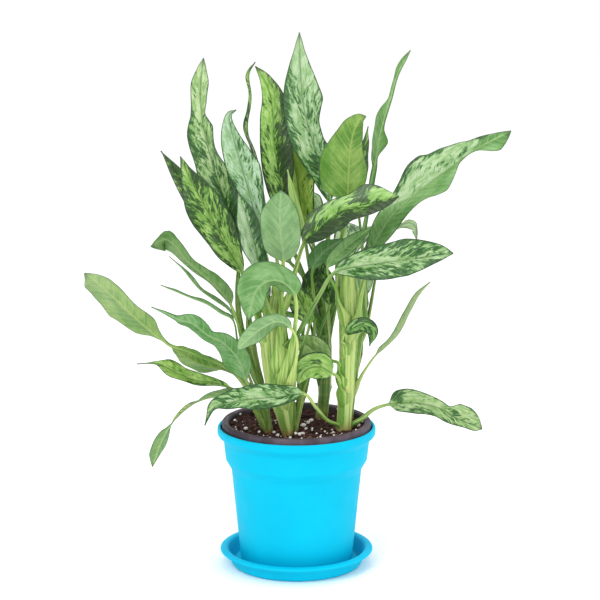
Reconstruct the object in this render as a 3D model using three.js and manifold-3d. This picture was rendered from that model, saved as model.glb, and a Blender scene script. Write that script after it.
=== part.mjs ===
// Potted Chinese evergreen: five leafy shoots in a nursery pot, which stands in a cyan pot on its saucer.
// Millimetres, +Z up. The origin is the middle of the saucer's underside, and -Y is the side that is seen.
// Each leaf is one body, a stalk with its blade, and stands a small gap off the cane that carries it.

import * as THREE from "three";
import { mergeVertices } from "three/addons/utils/BufferGeometryUtils.js";
import Module from "manifold-3d";

const manifold = await Module();
manifold.setup();

// Driving dimensions

const gap = 0.3; // between pieces that touch
const stalkSeat = 0.75; // from a cane's flat to a stalk's flat foot
const potSides = 44;
const caneSides = 12;
const saucerRadius = 78.7;
const saucerHeight = 17.6;
const potRadius = 81; // outer pot at its lip
const potTop = 145.6;
const growPotRadius = 76.3; // nursery pot at its rim
const growPotTop = 151;
const soilLevel = 143;
const soilDepthAtCanes = 26;
const floorThickness = 2.4; // of the saucer and the outer pot
const outerPotDrain = { holes: 5, radius: 4.5, reach: 35 };
const growPotDrain = { holes: 6, radius: 5, reach: 38 };

const leafFold = 0.3; // radians that each half of a blade rises from flat
const edgeHalfThickness = 0.4;
const ribHalfThicknessAtTip = 0.5;
const waveShare = 0.05; // height of the margin's wave, of the blade's width
const wavesOnBlade = 2.5;
const plainStations = [0, 0.06, 0.16, 0.28, 0.4, 0.52, 0.64, 0.76, 0.87, 0.95, 1];
const stalkStep = 26; // longest stretch of stalk between two sections
const neckShare = 0.6; // of a stalk's foot radius, where the blade begins

// Each shoot: its cane's middle line from the soil up, the cane's radius at each of those points, and its
// leaves from the lowest up. A leaf's joint is how far up the cane it grows, its width is the blade's
// widest, and faces are the ways that the upper side looks from the blade's base to its tip. An outline
// says, at shares of the blade's length, how far the blade reaches from its rib on its right and on its
// left. A leaf with none has the plain shape below. The stalk's points and the blade's points are its
// middle line.

const shoots = [
  {
    name: "front_left", // front left shoot
    caneRadius: [5.8, 13, 13.6, 8],
    cane: [[-9, -24, 143], [-17, -22, 190], [-22, -18, 239], [-20, -14, 287]],
    leaves: [
      {
        joint: 0.28, width: 21, look: "plain", faces: [[0, 1, 0.5], [0.2, 1, 0.3]],
        outline: [[0.1, 6, 5], [0.3, 9, 9], [0.5, 11, 10], [0.7, 10, 9], [0.85, 6, 7], [0.95, 3, 3]],
        stalk: [[1, -50, 237]],
        blade: [[-5, -56, 259], [-18, -60, 267], [-32, -62, 262], [-46, -63, 251], [-59, -64, 239]],
      },
      {
        joint: 0.4, width: 35, look: "plain", faces: [[0, 1, 0.5], [0.3, 1, 0.5], [0.3, 1, 0.2]],
        outline: [
          [0.08, 6, 10], [0.2, 12, 14], [0.4, 12, 19], [0.55, 11, 21], [0.7, 12, 19], [0.8, 12, 14],
          [0.9, 7, 8], [0.96, 3, 4],
        ],
        stalk: [[-1, -48, 262]],
        blade: [
          [-1, -53, 291], [-12, -55, 305], [-26, -58, 308], [-38, -61, 300], [-44, -62, 286],
          [-47, -61, 269],
        ],
      },
      {
        joint: 0.52, width: 40, look: "plain", faces: [[0, 1, 0]],
        outline: [
          [0.05, 10, 12], [0.1, 14, 14], [0.2, 18, 18], [0.4, 20, 20], [0.6, 20, 19], [0.7, 18, 17],
          [0.8, 14, 14], [0.9, 9, 10],
        ],
        stalk: [[-15, -32, 283]],
        blade: [[-13, -38, 323], [-15, -42, 346], [-16, -46, 371], [-15, -48, 396]],
      },
      {
        joint: 0.62, width: 39, look: "silver", faces: [[0, -1, 0.6]],
        outline: [
          [0.1, 8, 10], [0.2, 14, 13], [0.3, 18, 15], [0.4, 19, 17], [0.5, 20, 19], [0.6, 20, 20],
          [0.7, 16, 18], [0.8, 11, 15], [0.9, 6, 11], [0.95, 3, 7],
        ],
        stalk: [[5, -40, 257], [24, -42, 292]],
        blade: [[37, -42, 312], [63, -46, 320], [92, -50, 325], [122, -54, 330], [154, -58, 335]],
      },
      {
        joint: 0.7, width: 47, look: "dark", faces: [[-0.2, -1, 0]],
        outline: [
          [0.1, 10, 8], [0.2, 15, 12], [0.3, 19, 14], [0.4, 22, 17], [0.5, 22, 19], [0.6, 20, 18],
          [0.7, 16, 15], [0.8, 11, 11], [0.9, 5, 5],
        ],
        stalk: [[-40, -18, 272]],
        blade: [[-54, -7, 304], [-72, -2, 335], [-92, 6, 371], [-109, 14, 402], [-117, 20, 420]],
      },
      {
        joint: 0.85, width: 33, look: "silver", faces: [[0.5, -1, 0]],
        outline: [[0.1, 7, 8], [0.2, 9, 12], [0.4, 10, 17], [0.6, 10, 16], [0.8, 7, 9], [0.9, 4, 5]],
        stalk: [[-30, -33, 284]],
        blade: [[-34, -21, 305], [-40, -17, 331], [-48, -7, 358], [-58, 2, 385]],
      },
      {
        joint: 0.91, width: 38, look: "silver", faces: [[0, -1, 0]],
        outline: [
          [0.1, 8, 6], [0.2, 12, 7], [0.3, 15, 9], [0.4, 18, 12], [0.5, 19, 15], [0.6, 15, 15],
          [0.7, 10, 14], [0.8, 6, 11], [0.9, 3, 6], [0.95, 2, 3],
        ],
        stalk: [[-29, -14, 316]],
        blade: [
          [-39, 4, 342], [-42, 8, 362], [-50, 15, 392], [-59, 24, 421], [-68, 38, 456], [-61, 38, 465],
        ],
      },
      {
        joint: 0.93, width: 38, look: "lime", faces: [[0, -1, 1]],
        outline: [
          [0.08, 9, 10], [0.19, 15, 19], [0.36, 21, 15], [0.51, 22, 14], [0.69, 19, 20], [0.83, 13, 16],
          [0.92, 7, 9], [0.97, 3, 4],
        ],
        stalk: [[-5, -21, 296]],
        blade: [
          [7, -25, 338], [21, -27, 352], [34, -30, 365], [49, -33, 375], [68, -37, 380], [101, -42, 389],
        ],
      },
      {
        joint: 1, width: 26, look: "dark", faces: [[-3, -1, 0], [-2, -1, 0], [-1, -1, 0]],
        outline: [
          [0.1, 6, 5], [0.3, 9, 6], [0.5, 9, 4], [0.6, 7, 6], [0.7, 4, 2], [0.8, 2, 2], [0.9, 2, 4],
        ],
        stalk: [[-20, 12, 315]],
        blade: [
          [-29, 29, 348], [-35, 34, 384], [-43, 42, 418], [-50, 49, 443], [-47, 56, 476],
          [-49, 60, 498], [-42, 62, 511],
        ],
      },
    ],
  },
  {
    name: "front_right", // front right shoot, the thickest
    caneRadius: [7.4, 8, 9.6, 8.4],
    cane: [[48, -12, 143], [51, -10, 198], [53, -7, 254], [53, -4, 310]],
    leaves: [
      {
        joint: 0.04, width: 29, look: "silver", faces: [[0, -1, 1]],
        outline: [
          [0.05, 11, 10], [0.1, 13, 13], [0.2, 14, 14], [0.3, 15, 13], [0.4, 15, 11], [0.5, 14, 8],
          [0.6, 13, 6], [0.65, 12, 11], [0.7, 11, 15], [0.8, 9, 16], [0.9, 7, 14], [0.95, 5, 10],
        ],
        stalk: [[66, -7, 154], [79, -2, 163]],
        blade: [[94, 2, 167], [108, 4, 168], [127, 6, 167], [147, 8, 161], [168, 9, 149], [191, 10, 139]],
      },
      {
        joint: 0.05, width: 27, look: "silver",
        faces: [[0, -1, 0.8], [0, -1, 0.8], [0, -1, 0.8], [-0.6, -1, 0.5]],
        outline: [
          [0.1, 9, 8], [0.2, 12, 10], [0.3, 13, 12], [0.4, 14, 14], [0.5, 14, 14], [0.55, 13, 11],
          [0.6, 13, 9], [0.7, 10, 8], [0.8, 7, 4], [0.9, 3, 2],
        ],
        stalk: [[31, -26, 158], [19, -39, 175]],
        blade: [
          [8, -46, 190], [-16, -54, 189], [-46, -60, 188], [-71, -64, 185], [-83, -66, 180],
          [-91, -67, 163],
        ],
      },
      {
        joint: 0.24, width: 29, look: "dark", faces: [[0, -1, 0.5]],
        stalk: [[43, -23, 200]],
        blade: [[36, -25, 206], [23, -29, 214], [9, -34, 211], [1, -38, 197]],
      },
      {
        joint: 0.34, width: 27, look: "dark", faces: [[0, -1, 0.4]],
        stalk: [[43, -16, 214]],
        blade: [[35, -9, 216], [22, -4, 223], [9, 0, 231], [-4, 3, 238]],
      },
      {
        joint: 0.54, width: 16, look: "dark", faces: [[0, -1, 0.7]],
        stalk: [[46, -25, 241]],
        blade: [[49, -29, 248], [58, -33, 255], [68, -35, 258], [76, -36, 251], [73, -37, 237]],
      },
      {
        joint: 0.65, width: 54, look: "silver",
        faces: [[-0.5, -1, 1], [-0.5, -1, 1], [-0.5, -1, 1], [0, -1, 2], [0, -1, 0.4]],
        outline: [
          [0.1, 12, 8], [0.2, 16, 12], [0.3, 17, 15], [0.4, 18, 22], [0.45, 20, 26], [0.5, 25, 28],
          [0.55, 27, 28], [0.6, 21, 24], [0.65, 12, 24], [0.7, 3, 22], [0.75, 2, 19], [0.8, 5, 13],
          [0.85, 12, 10], [0.9, 14, 7], [0.95, 9, 4],
        ],
        stalk: [[64, -17, 282]],
        blade: [
          [72, -5, 317], [82, -2, 340], [99, 2, 366], [126, 6, 389], [151, 9, 408], [175, 11, 425],
          [194, 12, 436], [215, 12, 447],
        ],
      },
      {
        joint: 0.72, width: 16, look: "silver", faces: [[0, -1, 0.3]],
        stalk: [[40, -22, 291]],
        blade: [[31, -18, 313], [50, -18, 334], [77, -20, 356]],
      },
      {
        joint: 0.78, width: 49, look: "plain", faces: [[0, 1, 0]],
        outline: [
          [0.05, 14, 10], [0.14, 26, 15], [0.33, 30, 19], [0.47, 29, 16], [0.61, 23, 12],
          [0.75, 16, 10], [0.86, 12, 7], [0.95, 5, 4],
        ],
        stalk: [[42, 4, 318], [48, 3, 350]],
        blade: [[51, -2, 376], [52, -4, 398], [53, -7, 423], [56, -9, 445], [62, -10, 460], [69, -8, 464]],
      },
    ],
  },
  {
    name: "back", // back shoot, the tallest
    caneRadius: [6.5, 6, 5.4, 4.5],
    cane: [[26, 38, 143], [30, 39, 184], [30, 40, 231], [27, 40, 284]],
    leaves: [
      {
        joint: 0.25, width: 35, look: "dark", faces: [[0, -1, 1], [0, 0, 1], [0, 0, 1]],
        stalk: [[31, 66, 220]],
        blade: [[31, 88, 235], [27, 118, 246], [21, 148, 244], [17, 176, 227]],
      },
      {
        joint: 0.35, width: 14, look: "plain", faces: [[0, 1, 1]],
        stalk: [[14, 46, 244]],
        blade: [[4, 47, 248], [-22, 49, 252], [-51, 49, 256]],
      },
      {
        joint: 0.62, width: 37, look: "silver", faces: [[0, -1, 1], [0, -0.3, 1], [0, 0, 1]],
        stalk: [[12, 76, 277]],
        blade: [[-7, 87, 299], [-28, 112, 320], [-46, 140, 329], [-59, 166, 328]],
      },
      {
        joint: 0.7, width: 37, look: "silver", faces: [[0, -1, 1], [0, -0.3, 1], [0, 0, 1]],
        stalk: [[44, 73, 275]],
        blade: [[48, 90, 299], [59, 116, 320], [68, 144, 325], [75, 168, 319]],
      },
      {
        joint: 0.75, width: 39, look: "lime", faces: [[0, -1, 0]],
        outline: [
          [0.1, 8, 9], [0.2, 10, 12], [0.3, 12, 15], [0.4, 17, 16], [0.5, 18, 15], [0.6, 18, 14],
          [0.7, 17, 13], [0.8, 14, 9], [0.9, 8, 5],
        ],
        stalk: [[7, 30, 296]],
        blade: [
          [-7, 31, 333], [-13, 39, 372], [-22, 50, 422], [-25, 57, 468], [-32, 62, 491], [-42, 68, 506],
        ],
      },
      {
        joint: 0.79, width: 39, look: "silver", faces: [[0, -1, 1]],
        stalk: [[22, 83, 300]],
        blade: [[16, 104, 320], [10, 118, 347], [1, 146, 360], [-5, 172, 360]],
      },
      {
        joint: 0.88, width: 31, look: "dark", faces: [[0, -1, 0]],
        outline: [
          [0.1, 9, 9], [0.2, 13, 13], [0.4, 16, 15], [0.5, 18, 15], [0.6, 20, 14], [0.7, 17, 11],
          [0.8, 12, 8], [0.9, 6, 4],
        ],
        stalk: [[14, 52, 299]],
        blade: [[9, 58, 328], [4, 66, 363], [-1, 74, 398], [-9, 84, 441]],
      },
      {
        joint: 0.94, width: 9, look: "spear", faces: [[0, -1, 0]],
        stalk: [[20, 30, 310]],
        blade: [[8, 26, 342], [-2, 24, 373], [-9, 24, 406]],
      },
      {
        joint: 1, width: 44, look: "silver", faces: [[0, -1, 0]],
        outline: [
          [0.1, 8, 9], [0.2, 12, 14], [0.3, 15, 18], [0.38, 12, 21], [0.45, 12, 22], [0.55, 18, 21],
          [0.6, 21, 20], [0.7, 17, 17], [0.8, 11, 12], [0.9, 5, 6],
        ],
        stalk: [[32, 36, 330]],
        blade: [[34, 38, 368], [28, 41, 398], [16, 46, 433], [7, 54, 468], [4, 64, 503], [3, 74, 540]],
      },
    ],
  },
  {
    name: "left", // left shoot, leaning out over the rim
    caneRadius: [5.2, 4.8, 4.2, 3.2],
    cane: [[-29, -12, 143], [-34, -8, 174], [-41, -4, 207], [-48, 0, 237]],
    leaves: [
      {
        joint: 0.08, width: 20, look: "lime",
        faces: [[0, 1, 1], [0, 1, 2], [-1, -1, 0], [-0.6, 1, 0], [-0.6, 1, 0]],
        outline: [
          [0.1, 8, 8], [0.2, 9, 9], [0.3, 5, 5], [0.37, 2, 2], [0.5, 2, 2], [0.65, 3, 3], [0.7, 5, 6],
          [0.8, 8, 8], [0.9, 4, 8], [0.95, 2, 5],
        ],
        stalk: [[-46, -34, 178]],
        blade: [
          [-58, -41, 192], [-74, -43, 188], [-91, -44, 185], [-108, -44, 177], [-122, -44, 163],
          [-132, -44, 147], [-139, -44, 131], [-145, -44, 114],
        ],
      },
      {
        joint: 0.15, width: 25, look: "dark", faces: [[0, -1, 2]],
        outline: [
          [0.1, 5, 5], [0.2, 7, 7], [0.3, 8, 9], [0.4, 9, 12], [0.5, 10, 13], [0.6, 12, 13],
          [0.7, 10, 11], [0.75, 6, 8], [0.8, 3, 4], [0.9, 1, 1],
        ],
        stalk: [[-52, 2, 176]],
        blade: [
          [-66, -3, 185], [-83, -4, 191], [-103, -4, 194], [-123, -4, 202], [-141, -4, 211],
          [-162, -4, 211],
        ],
      },
      {
        joint: 0.21, width: 24, look: "plain", faces: [[0, 1, 0.2], [0, 1, 0.4], [0, 1, 0.6]],
        outline: [
          [0.06, 8, 6], [0.12, 15, 10], [0.2, 18, 12], [0.36, 12, 10], [0.48, 8, 6], [0.56, 8, 9],
          [0.64, 9, 10], [0.74, 7, 7], [0.8, 3, 3], [0.9, 2, 2],
        ],
        stalk: [[-44, -29, 187]],
        blade: [
          [-50, -34, 200], [-58, -36, 223], [-73, -37, 240], [-88, -38, 248], [-103, -39, 260],
          [-116, -40, 264], [-131, -41, 272], [-144, -42, 278],
        ],
      },
      {
        joint: 0.3, width: 39, look: "plain", faces: [[0, 1, 0.5]],
        outline: [
          [0.1, 2, 3], [0.2, 8, 7], [0.25, 13, 10], [0.3, 16, 11], [0.4, 17, 11], [0.5, 21, 11],
          [0.55, 24, 11], [0.6, 23, 11], [0.7, 19, 11], [0.8, 17, 11], [0.9, 15, 8], [0.97, 5, 3],
        ],
        stalk: [[-57, -8, 197], [-75, -11, 212], [-108, -14, 226]],
        blade: [
          [-125, -16, 232], [-136, -18, 240], [-157, -21, 258], [-181, -25, 282], [-201, -28, 302],
          [-211, -30, 310],
        ],
      },
      {
        joint: 0.4, width: 25, look: "plain", faces: [[0, 1, 0.8]],
        outline: [
          [0.1, 11, 10], [0.2, 14, 11], [0.3, 17, 12], [0.4, 19, 13], [0.5, 20, 13], [0.6, 18, 12],
          [0.7, 14, 11], [0.8, 10, 10], [0.9, 6, 8],
        ],
        stalk: [[-57, 10, 194]],
        blade: [[-76, 8, 203], [-93, 8, 206], [-111, 8, 214], [-127, 8, 226]],
      },
      {
        joint: 0.5, width: 33, look: "silver", faces: [[0, -1, 1], [0, 0, 1]],
        stalk: [[-44, 30, 230]],
        blade: [[-40, 55, 250], [-43, 81, 268], [-47, 108, 276], [-50, 134, 268]],
      },
      {
        joint: 0.43, width: 8, look: "plain", faces: [[0, 1, 1.5]],
        outline: [[0.1, 5, 4], [0.45, 5, 4], [0.6, 4, 3], [0.8, 3, 3], [0.9, 2, 2]],
        stalk: [[-58, -10, 228]],
        blade: [[-63, -14, 257], [-75, -15, 266], [-92, -17, 277], [-112, -18, 285], [-136, -20, 296]],
      },
      {
        joint: 0.62, width: 23, look: "plain", faces: [[0, 1, 1]],
        outline: [
          [0.1, 4, 9], [0.2, 6, 11], [0.3, 6, 10], [0.4, 7, 7], [0.5, 7, 7], [0.6, 9, 7], [0.7, 12, 7],
          [0.75, 16, 7], [0.8, 20, 8], [0.85, 24, 12], [0.9, 22, 6], [0.95, 12, 4],
        ],
        stalk: [[-53, -22, 235], [-58, -29, 257]],
        blade: [
          [-65, -32, 277], [-74, -33, 291], [-91, -35, 308], [-107, -37, 322], [-127, -40, 345],
          [-144, -42, 339],
        ],
      },
      {
        joint: 0.66, width: 14, look: "plain", faces: [[0, 1, 2.5]],
        stalk: [[-54, -5, 238]],
        blade: [
          [-61, -2, 256], [-69, 1, 267], [-83, 4, 276], [-100, 8, 288], [-116, 11, 307],
          [-129, 13, 319],
        ],
      },
      {
        joint: 0.8, width: 37, look: "silver",
        faces: [[0, -1, 0], [0, -1, 0], [-1, -1, 0], [-0.3, -1, 0], [0, -1, 0]],
        outline: [
          [0.1, 11, 10], [0.2, 15, 14], [0.3, 17, 17], [0.4, 18, 19], [0.5, 19, 20], [0.6, 16, 18],
          [0.66, 8, 14], [0.7, 4, 11], [0.76, 7, 10], [0.85, 9, 10], [0.95, 4, 5],
        ],
        stalk: [[-57, 8, 246], [-60, 9, 286]],
        blade: [
          [-57, 13, 336], [-71, 25, 371], [-85, 36, 408], [-95, 50, 448], [-98, 62, 482],
          [-95, 72, 514],
        ],
      },
      {
        joint: 0.93, width: 25, look: "dark", faces: [[0, -1, 0]],
        stalk: [[-51, 26, 280]],
        blade: [[-62, 35, 313], [-91, 50, 355], [-118, 62, 390], [-140, 75, 418]],
      },
    ],
  },
  {
    name: "right", // right shoot, behind the thick one
    caneRadius: [3.6, 3.4, 3.2, 3],
    cane: [[54, 17, 143], [59, 20, 185], [65, 23, 228], [71, 26, 271]],
    leaves: [
      {
        joint: 0.35, width: 11, look: "plain", faces: [[0, 1, 1]],
        outline: [[0.1, 4, 4], [0.4, 4, 4], [0.6, 4, 4], [0.8, 4, 2], [0.9, 3, 1]],
        stalk: [[69, 16, 198]],
        blade: [
          [81, 21, 214], [96, 24, 228], [106, 26, 242], [114, 28, 258], [123, 30, 273], [137, 32, 289],
        ],
      },
      {
        joint: 0.55, width: 33, look: "silver", faces: [[0, -1, 1], [0, 0, 1]],
        stalk: [[68, 50, 243]],
        blade: [[67, 72, 262], [65, 100, 277], [63, 128, 281], [64, 152, 269]],
      },
      {
        joint: 0.78, width: 12, look: "dark", faces: [[0, -1, 1]],
        outline: [
          [0.1, 3, 3], [0.4, 2, 2], [0.5, 6, 2], [0.6, 12, 4], [0.7, 9, 4], [0.8, 6, 1], [0.9, 3, 1],
        ],
        stalk: [[81, 27, 297]],
        blade: [[86, 39, 331], [101, 46, 341], [115, 50, 347], [123, 53, 341], [124, 55, 328]],
      },
      {
        joint: 0.85, width: 27, look: "plain", faces: [[0.6, 1, 0], [1, 1, 0], [1.6, 1, 0]],
        outline: [
          [0.1, 3, 3], [0.4, 3, 3], [0.45, 9, 2], [0.5, 12, 8], [0.53, 14, 11], [0.6, 16, 3],
          [0.65, 18, 2], [0.7, 14, 2], [0.75, 4, 2], [0.85, 6, 2], [0.9, 9, 2], [0.95, 7, 2],
        ],
        stalk: [[69, 17, 283]],
        blade: [
          [67, 27, 323], [71, 32, 358], [76, 36, 391], [81, 40, 414], [85, 44, 439], [91, 48, 462],
          [96, 52, 477], [103, 56, 499], [116, 62, 523],
        ],
      },
      {
        joint: 1, width: 18, look: "dark", faces: [[1, -1, 0]],
        stalk: [[70, 27, 287]],
        blade: [[71, 36, 302], [73, 41, 320], [76, 46, 338]],
      },
      {
        joint: 0.96, width: 18, look: "dark", faces: [[1, -1, 0]],
        stalk: [[68, 57, 323]],
        blade: [[63, 64, 369], [66, 72, 404], [74, 80, 443]],
      },
    ],
  },
  {
    name: "middle", // young shoot in the middle
    caneRadius: [3.6, 3.2, 3, 2.6],
    cane: [[-2, -12, 143], [1, -11, 158], [4, -10, 172], [7, -9, 186]],
    leaves: [
      {
        joint: 0.45, width: 25, look: "dark", faces: [[0, -1, 0.2]],
        stalk: [[-2, -11, 196], [6, -14, 230]],
        blade: [[13, -8, 253], [7, -6, 270], [-2, -5, 286], [-11, -5, 298]],
      },
      {
        joint: 0.85, width: 18, look: "dark", faces: [[0, -1, 0]],
        stalk: [[13, 4, 201], [23, 14, 238]],
        blade: [[34, 10, 269], [32, 12, 284], [28, 15, 300], [22, 17, 317]],
      },
      {
        joint: 0.7, width: 23, look: "dark", faces: [[0, -1, 0]],
        stalk: [[4, 6, 208], [7, 15, 242]],
        blade: [[12, 17, 273], [18, 18, 293], [28, 20, 316]],
      },
      {
        joint: 1, width: 20, look: "plain", faces: [[0, 1, 0.4]],
        stalk: [[13, -1, 206], [18, 8, 238], [18, 6, 276]],
        blade: [[16, -2, 308], [28, -4, 327], [47, -6, 341]],
      },
    ],
  },
];

// Materials

const finishes = {
  potPlastic: { color: 0x12b4ec, roughness: 0.35 },
  growPotPlastic: { color: 0x3d3442, roughness: 0.6 },
  soil: { color: 0x2d1e1c, roughness: 1 },
  cane: { color: 0x7fae55, roughness: 0.5 },
  silver: { color: 0xa8d4a4, roughness: 0.45 },
  dark: { color: 0x4c8a4a, roughness: 0.45 },
  lime: { color: 0xa6df6c, roughness: 0.45 },
  plain: { color: 0x86bb70, roughness: 0.55 },
  spear: { color: 0xb9dc7a, roughness: 0.5 },
};

function mesh(name, geometry, finish) {
  const material = new THREE.MeshStandardMaterial({ ...finishes[finish], metalness: 0 });
  const piece = new THREE.Mesh(geometry, material);
  piece.name = name;
  return piece;
}

// Solids

function solidFrom(geometry) {
  const bare = geometry.clone();
  bare.deleteAttribute("normal");
  bare.deleteAttribute("uv");
  const merged = mergeVertices(bare, 1e-4);
  return new manifold.Manifold(new manifold.Mesh({
    numProp: 3,
    vertProperties: new Float32Array(merged.attributes.position.array),
    triVerts: new Uint32Array(merged.index.array),
  }));
}

function geometryFrom(solid) {
  const { vertProperties, triVerts } = solid.getMesh();
  const geometry = new THREE.BufferGeometry();
  geometry.setAttribute("position", new THREE.BufferAttribute(vertProperties, 3));
  geometry.setIndex(new THREE.BufferAttribute(triVerts, 1));
  return geometry;
}

// A round piece from its [radius, height] profile, which starts and ends on the axis.
function turned(profile) {
  const points = profile.map(([radius, height]) => new THREE.Vector2(radius, height));
  const geometry = new THREE.LatheGeometry(points, potSides);
  return geometry.rotateX(Math.PI / 2);
}

function upright(radius, bottom, top, x, y, sides) {
  const geometry = new THREE.CylinderGeometry(radius, radius, top - bottom, sides);
  geometry.rotateX(Math.PI / 2);
  return geometry.translate(x, y, (top + bottom) / 2);
}

// Rings of six points, one ring at each station, joined into a closed body. The diagonals on the under
// side lie under those on the upper side, so a waved blade's two faces can't cross.
function ringBody(rings) {
  const sides = 6;
  const underCells = [3, 4];
  const index = [];
  for (let ring = 0; ring < rings.length - 1; ring += 1) {
    for (let side = 0; side < sides; side += 1) {
      const a = ring * sides + side;
      const b = ring * sides + (side + 1) % sides;
      const [c, d] = [b + sides, a + sides];
      if (underCells.includes(side)) {
        index.push(a, b, d, b, c, d);
      } else {
        index.push(a, b, c, a, c, d);
      }
    }
  }
  const last = (rings.length - 1) * sides;
  index.push(0, 5, 1, 1, 5, 4, 1, 4, 2, 2, 4, 3);
  index.push(last, last + 1, last + 5, last + 1, last + 4, last + 5);
  index.push(last + 1, last + 2, last + 4, last + 2, last + 3, last + 4);
  const geometry = new THREE.BufferGeometry();
  geometry.setAttribute("position", new THREE.Float32BufferAttribute(rings.flat(2), 3));
  geometry.setIndex(index);
  return geometry;
}

// Shoots

const vector = (point) => new THREE.Vector3(...point);

function middleLine(points) {
  return new THREE.CatmullRomCurve3(points, false, "catmullrom", 0.5);
}

function caneRadiusAt(shoot, share) {
  const place = share * (shoot.caneRadius.length - 1);
  const first = Math.min(Math.floor(place), shoot.caneRadius.length - 2);
  return THREE.MathUtils.lerp(shoot.caneRadius[first], shoot.caneRadius[first + 1], place - first);
}

function stalkRadius(leaf) {
  return THREE.MathUtils.clamp(0.055 * leaf.width + 1.2, 1.6, 3.4);
}

// The half-width of a blade along it, as a share of its widest: round at the base, drawn out at the tip.
function bladeShape(share) {
  return Math.max(0, Math.sin(Math.PI * share ** 0.8)) ** (0.65 + 0.4 * share);
}

// How far a blade reaches from its rib on one side: by its own outline if it has one, which closes in a
// round base and a drawn-out tip.
function bladeReach(leaf, side, share) {
  if (!leaf.outline) {
    return leaf.width / 2 * bladeShape(share);
  }
  const column = side > 0 ? 1 : 2;
  const first = leaf.outline[0];
  const last = leaf.outline[leaf.outline.length - 1];
  if (share <= first[0]) {
    return first[column] * (share / first[0]) ** 0.7;
  }
  if (share >= last[0]) {
    return last[column] * ((1 - share) / (1 - last[0])) ** 0.8;
  }
  const next = leaf.outline.findIndex((point) => point[0] > share);
  const [before, after] = [leaf.outline[next - 1], leaf.outline[next]];
  const past = (share - before[0]) / (after[0] - before[0]);
  return THREE.MathUtils.lerp(before[column], after[column], past);
}

// The shares of its length at which a blade has a section: where its outline has a point, if it has one.
function bladeStations(leaf) {
  if (!leaf.outline) {
    return plainStations;
  }
  const shares = leaf.outline.map((point) => point[0]);
  const [base, tip] = [shares[0], shares[shares.length - 1]];
  return [0, base / 2, ...shares, (1 + tip) / 2, 1];
}

// The upper side's direction along a blade, between the leaf's listed ones.
function faceAt(leaf, share) {
  const faces = leaf.faces.map((face) => vector(face).normalize());
  const place = THREE.MathUtils.clamp(share, 0, 1) * (faces.length - 1);
  const first = Math.min(Math.floor(place), Math.max(faces.length - 2, 0));
  const next = Math.min(first + 1, faces.length - 1);
  const blend = THREE.MathUtils.smoothstep(place - first, 0, 1);
  return faces[first].lerp(faces[next], blend);
}

// Where a leaf's stalk meets its cane: on the side that the stalk leaves to, or on the cane's top. A stalk
// that leans out turns its foot's edge to the cane, so it stands nearer.
function stalkFoot(shoot, leaf) {
  const centre = middleLine(shoot.cane.map(vector)).getPoint(leaf.joint);
  const way = vector(leaf.stalk[0]).sub(centre);
  const lean = Math.hypot(way.x, way.y) / way.length();
  if (leaf.joint === 1) {
    return centre.add(new THREE.Vector3(0, 0, gap + stalkRadius(leaf) * lean));
  }
  const caneFlat = caneRadiusAt(shoot, leaf.joint) * Math.cos(Math.PI / caneSides);
  const standOff = caneFlat + 0.9 * stalkRadius(leaf) * Math.sqrt(1 - lean * lean) + stalkSeat;
  return centre.addScaledVector(way.setZ(0).normalize(), standOff);
}

function leafGeometry(shoot, leaf, number) {
  const foot = stalkFoot(shoot, leaf);
  const points = [foot, ...leaf.stalk.map(vector), ...leaf.blade.map(vector)];
  const line = middleLine(points);
  const stepsPerPoint = 24;
  line.arcLengthDivisions = stepsPerPoint * (points.length - 1);
  const lengths = line.getLengths();
  const whole = lengths[lengths.length - 1];
  const stalk = lengths[stepsPerPoint * (leaf.stalk.length + 1)];
  const stalkParts = Math.max(2, Math.ceil(stalk / stalkStep));
  const stations = [];
  for (let part = 0; part < stalkParts; part += 1) {
    stations.push({ length: stalk * part / stalkParts, onStalk: part / stalkParts, onBlade: 0 });
  }
  for (const share of bladeStations(leaf)) {
    stations.push({ length: stalk + share * (whole - stalk), onStalk: 1, onBlade: share });
  }
  const footRadius = stalkRadius(leaf);
  const neckRadius = neckShare * footRadius;
  const wave = waveShare * leaf.width;
  const pointAt = (distance) => line.getPointAt(THREE.MathUtils.clamp(distance / whole, 0, 1));
  const rings = stations.map(({ length, onStalk, onBlade }) => {
    const centre = pointAt(length);
    const along = pointAt(length + 1.5).sub(pointAt(length - 1.5)).normalize();
    const face = faceAt(leaf, onBlade);
    const up = face.addScaledVector(along, -face.dot(along)).normalize();
    const across = along.clone().cross(up);
    const round = THREE.MathUtils.lerp(footRadius, neckRadius, onStalk) * (1 - onBlade);
    const spread = THREE.MathUtils.smoothstep(bladeShape(onBlade), 0.05, 0.5);
    const rib = Math.max(round * (1 - 0.55 * spread), ribHalfThicknessAtTip);
    const edge = Math.max(0.5 * round * (1 - spread), edgeHalfThickness);
    const half = (side) => Math.max(0.87 * round, bladeReach(leaf, side, onBlade), 0.6);
    const rise = (side) => half(side) * Math.sin(leafFold) * spread + wave * spread * bladeShape(onBlade)
      * Math.sin(2 * Math.PI * wavesOnBlade * onBlade + number * 1.3 + side * 0.9);
    const at = (side, thickness) => centre.clone()
      .addScaledVector(across, side * half(side))
      .addScaledVector(up, side === 0 ? thickness : rise(side) + thickness)
      .toArray();
    return [at(-1, edge), at(0, rib), at(1, edge), at(1, -edge), at(0, -rib), at(-1, -edge)];
  });
  return ringBody(rings);
}

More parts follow.
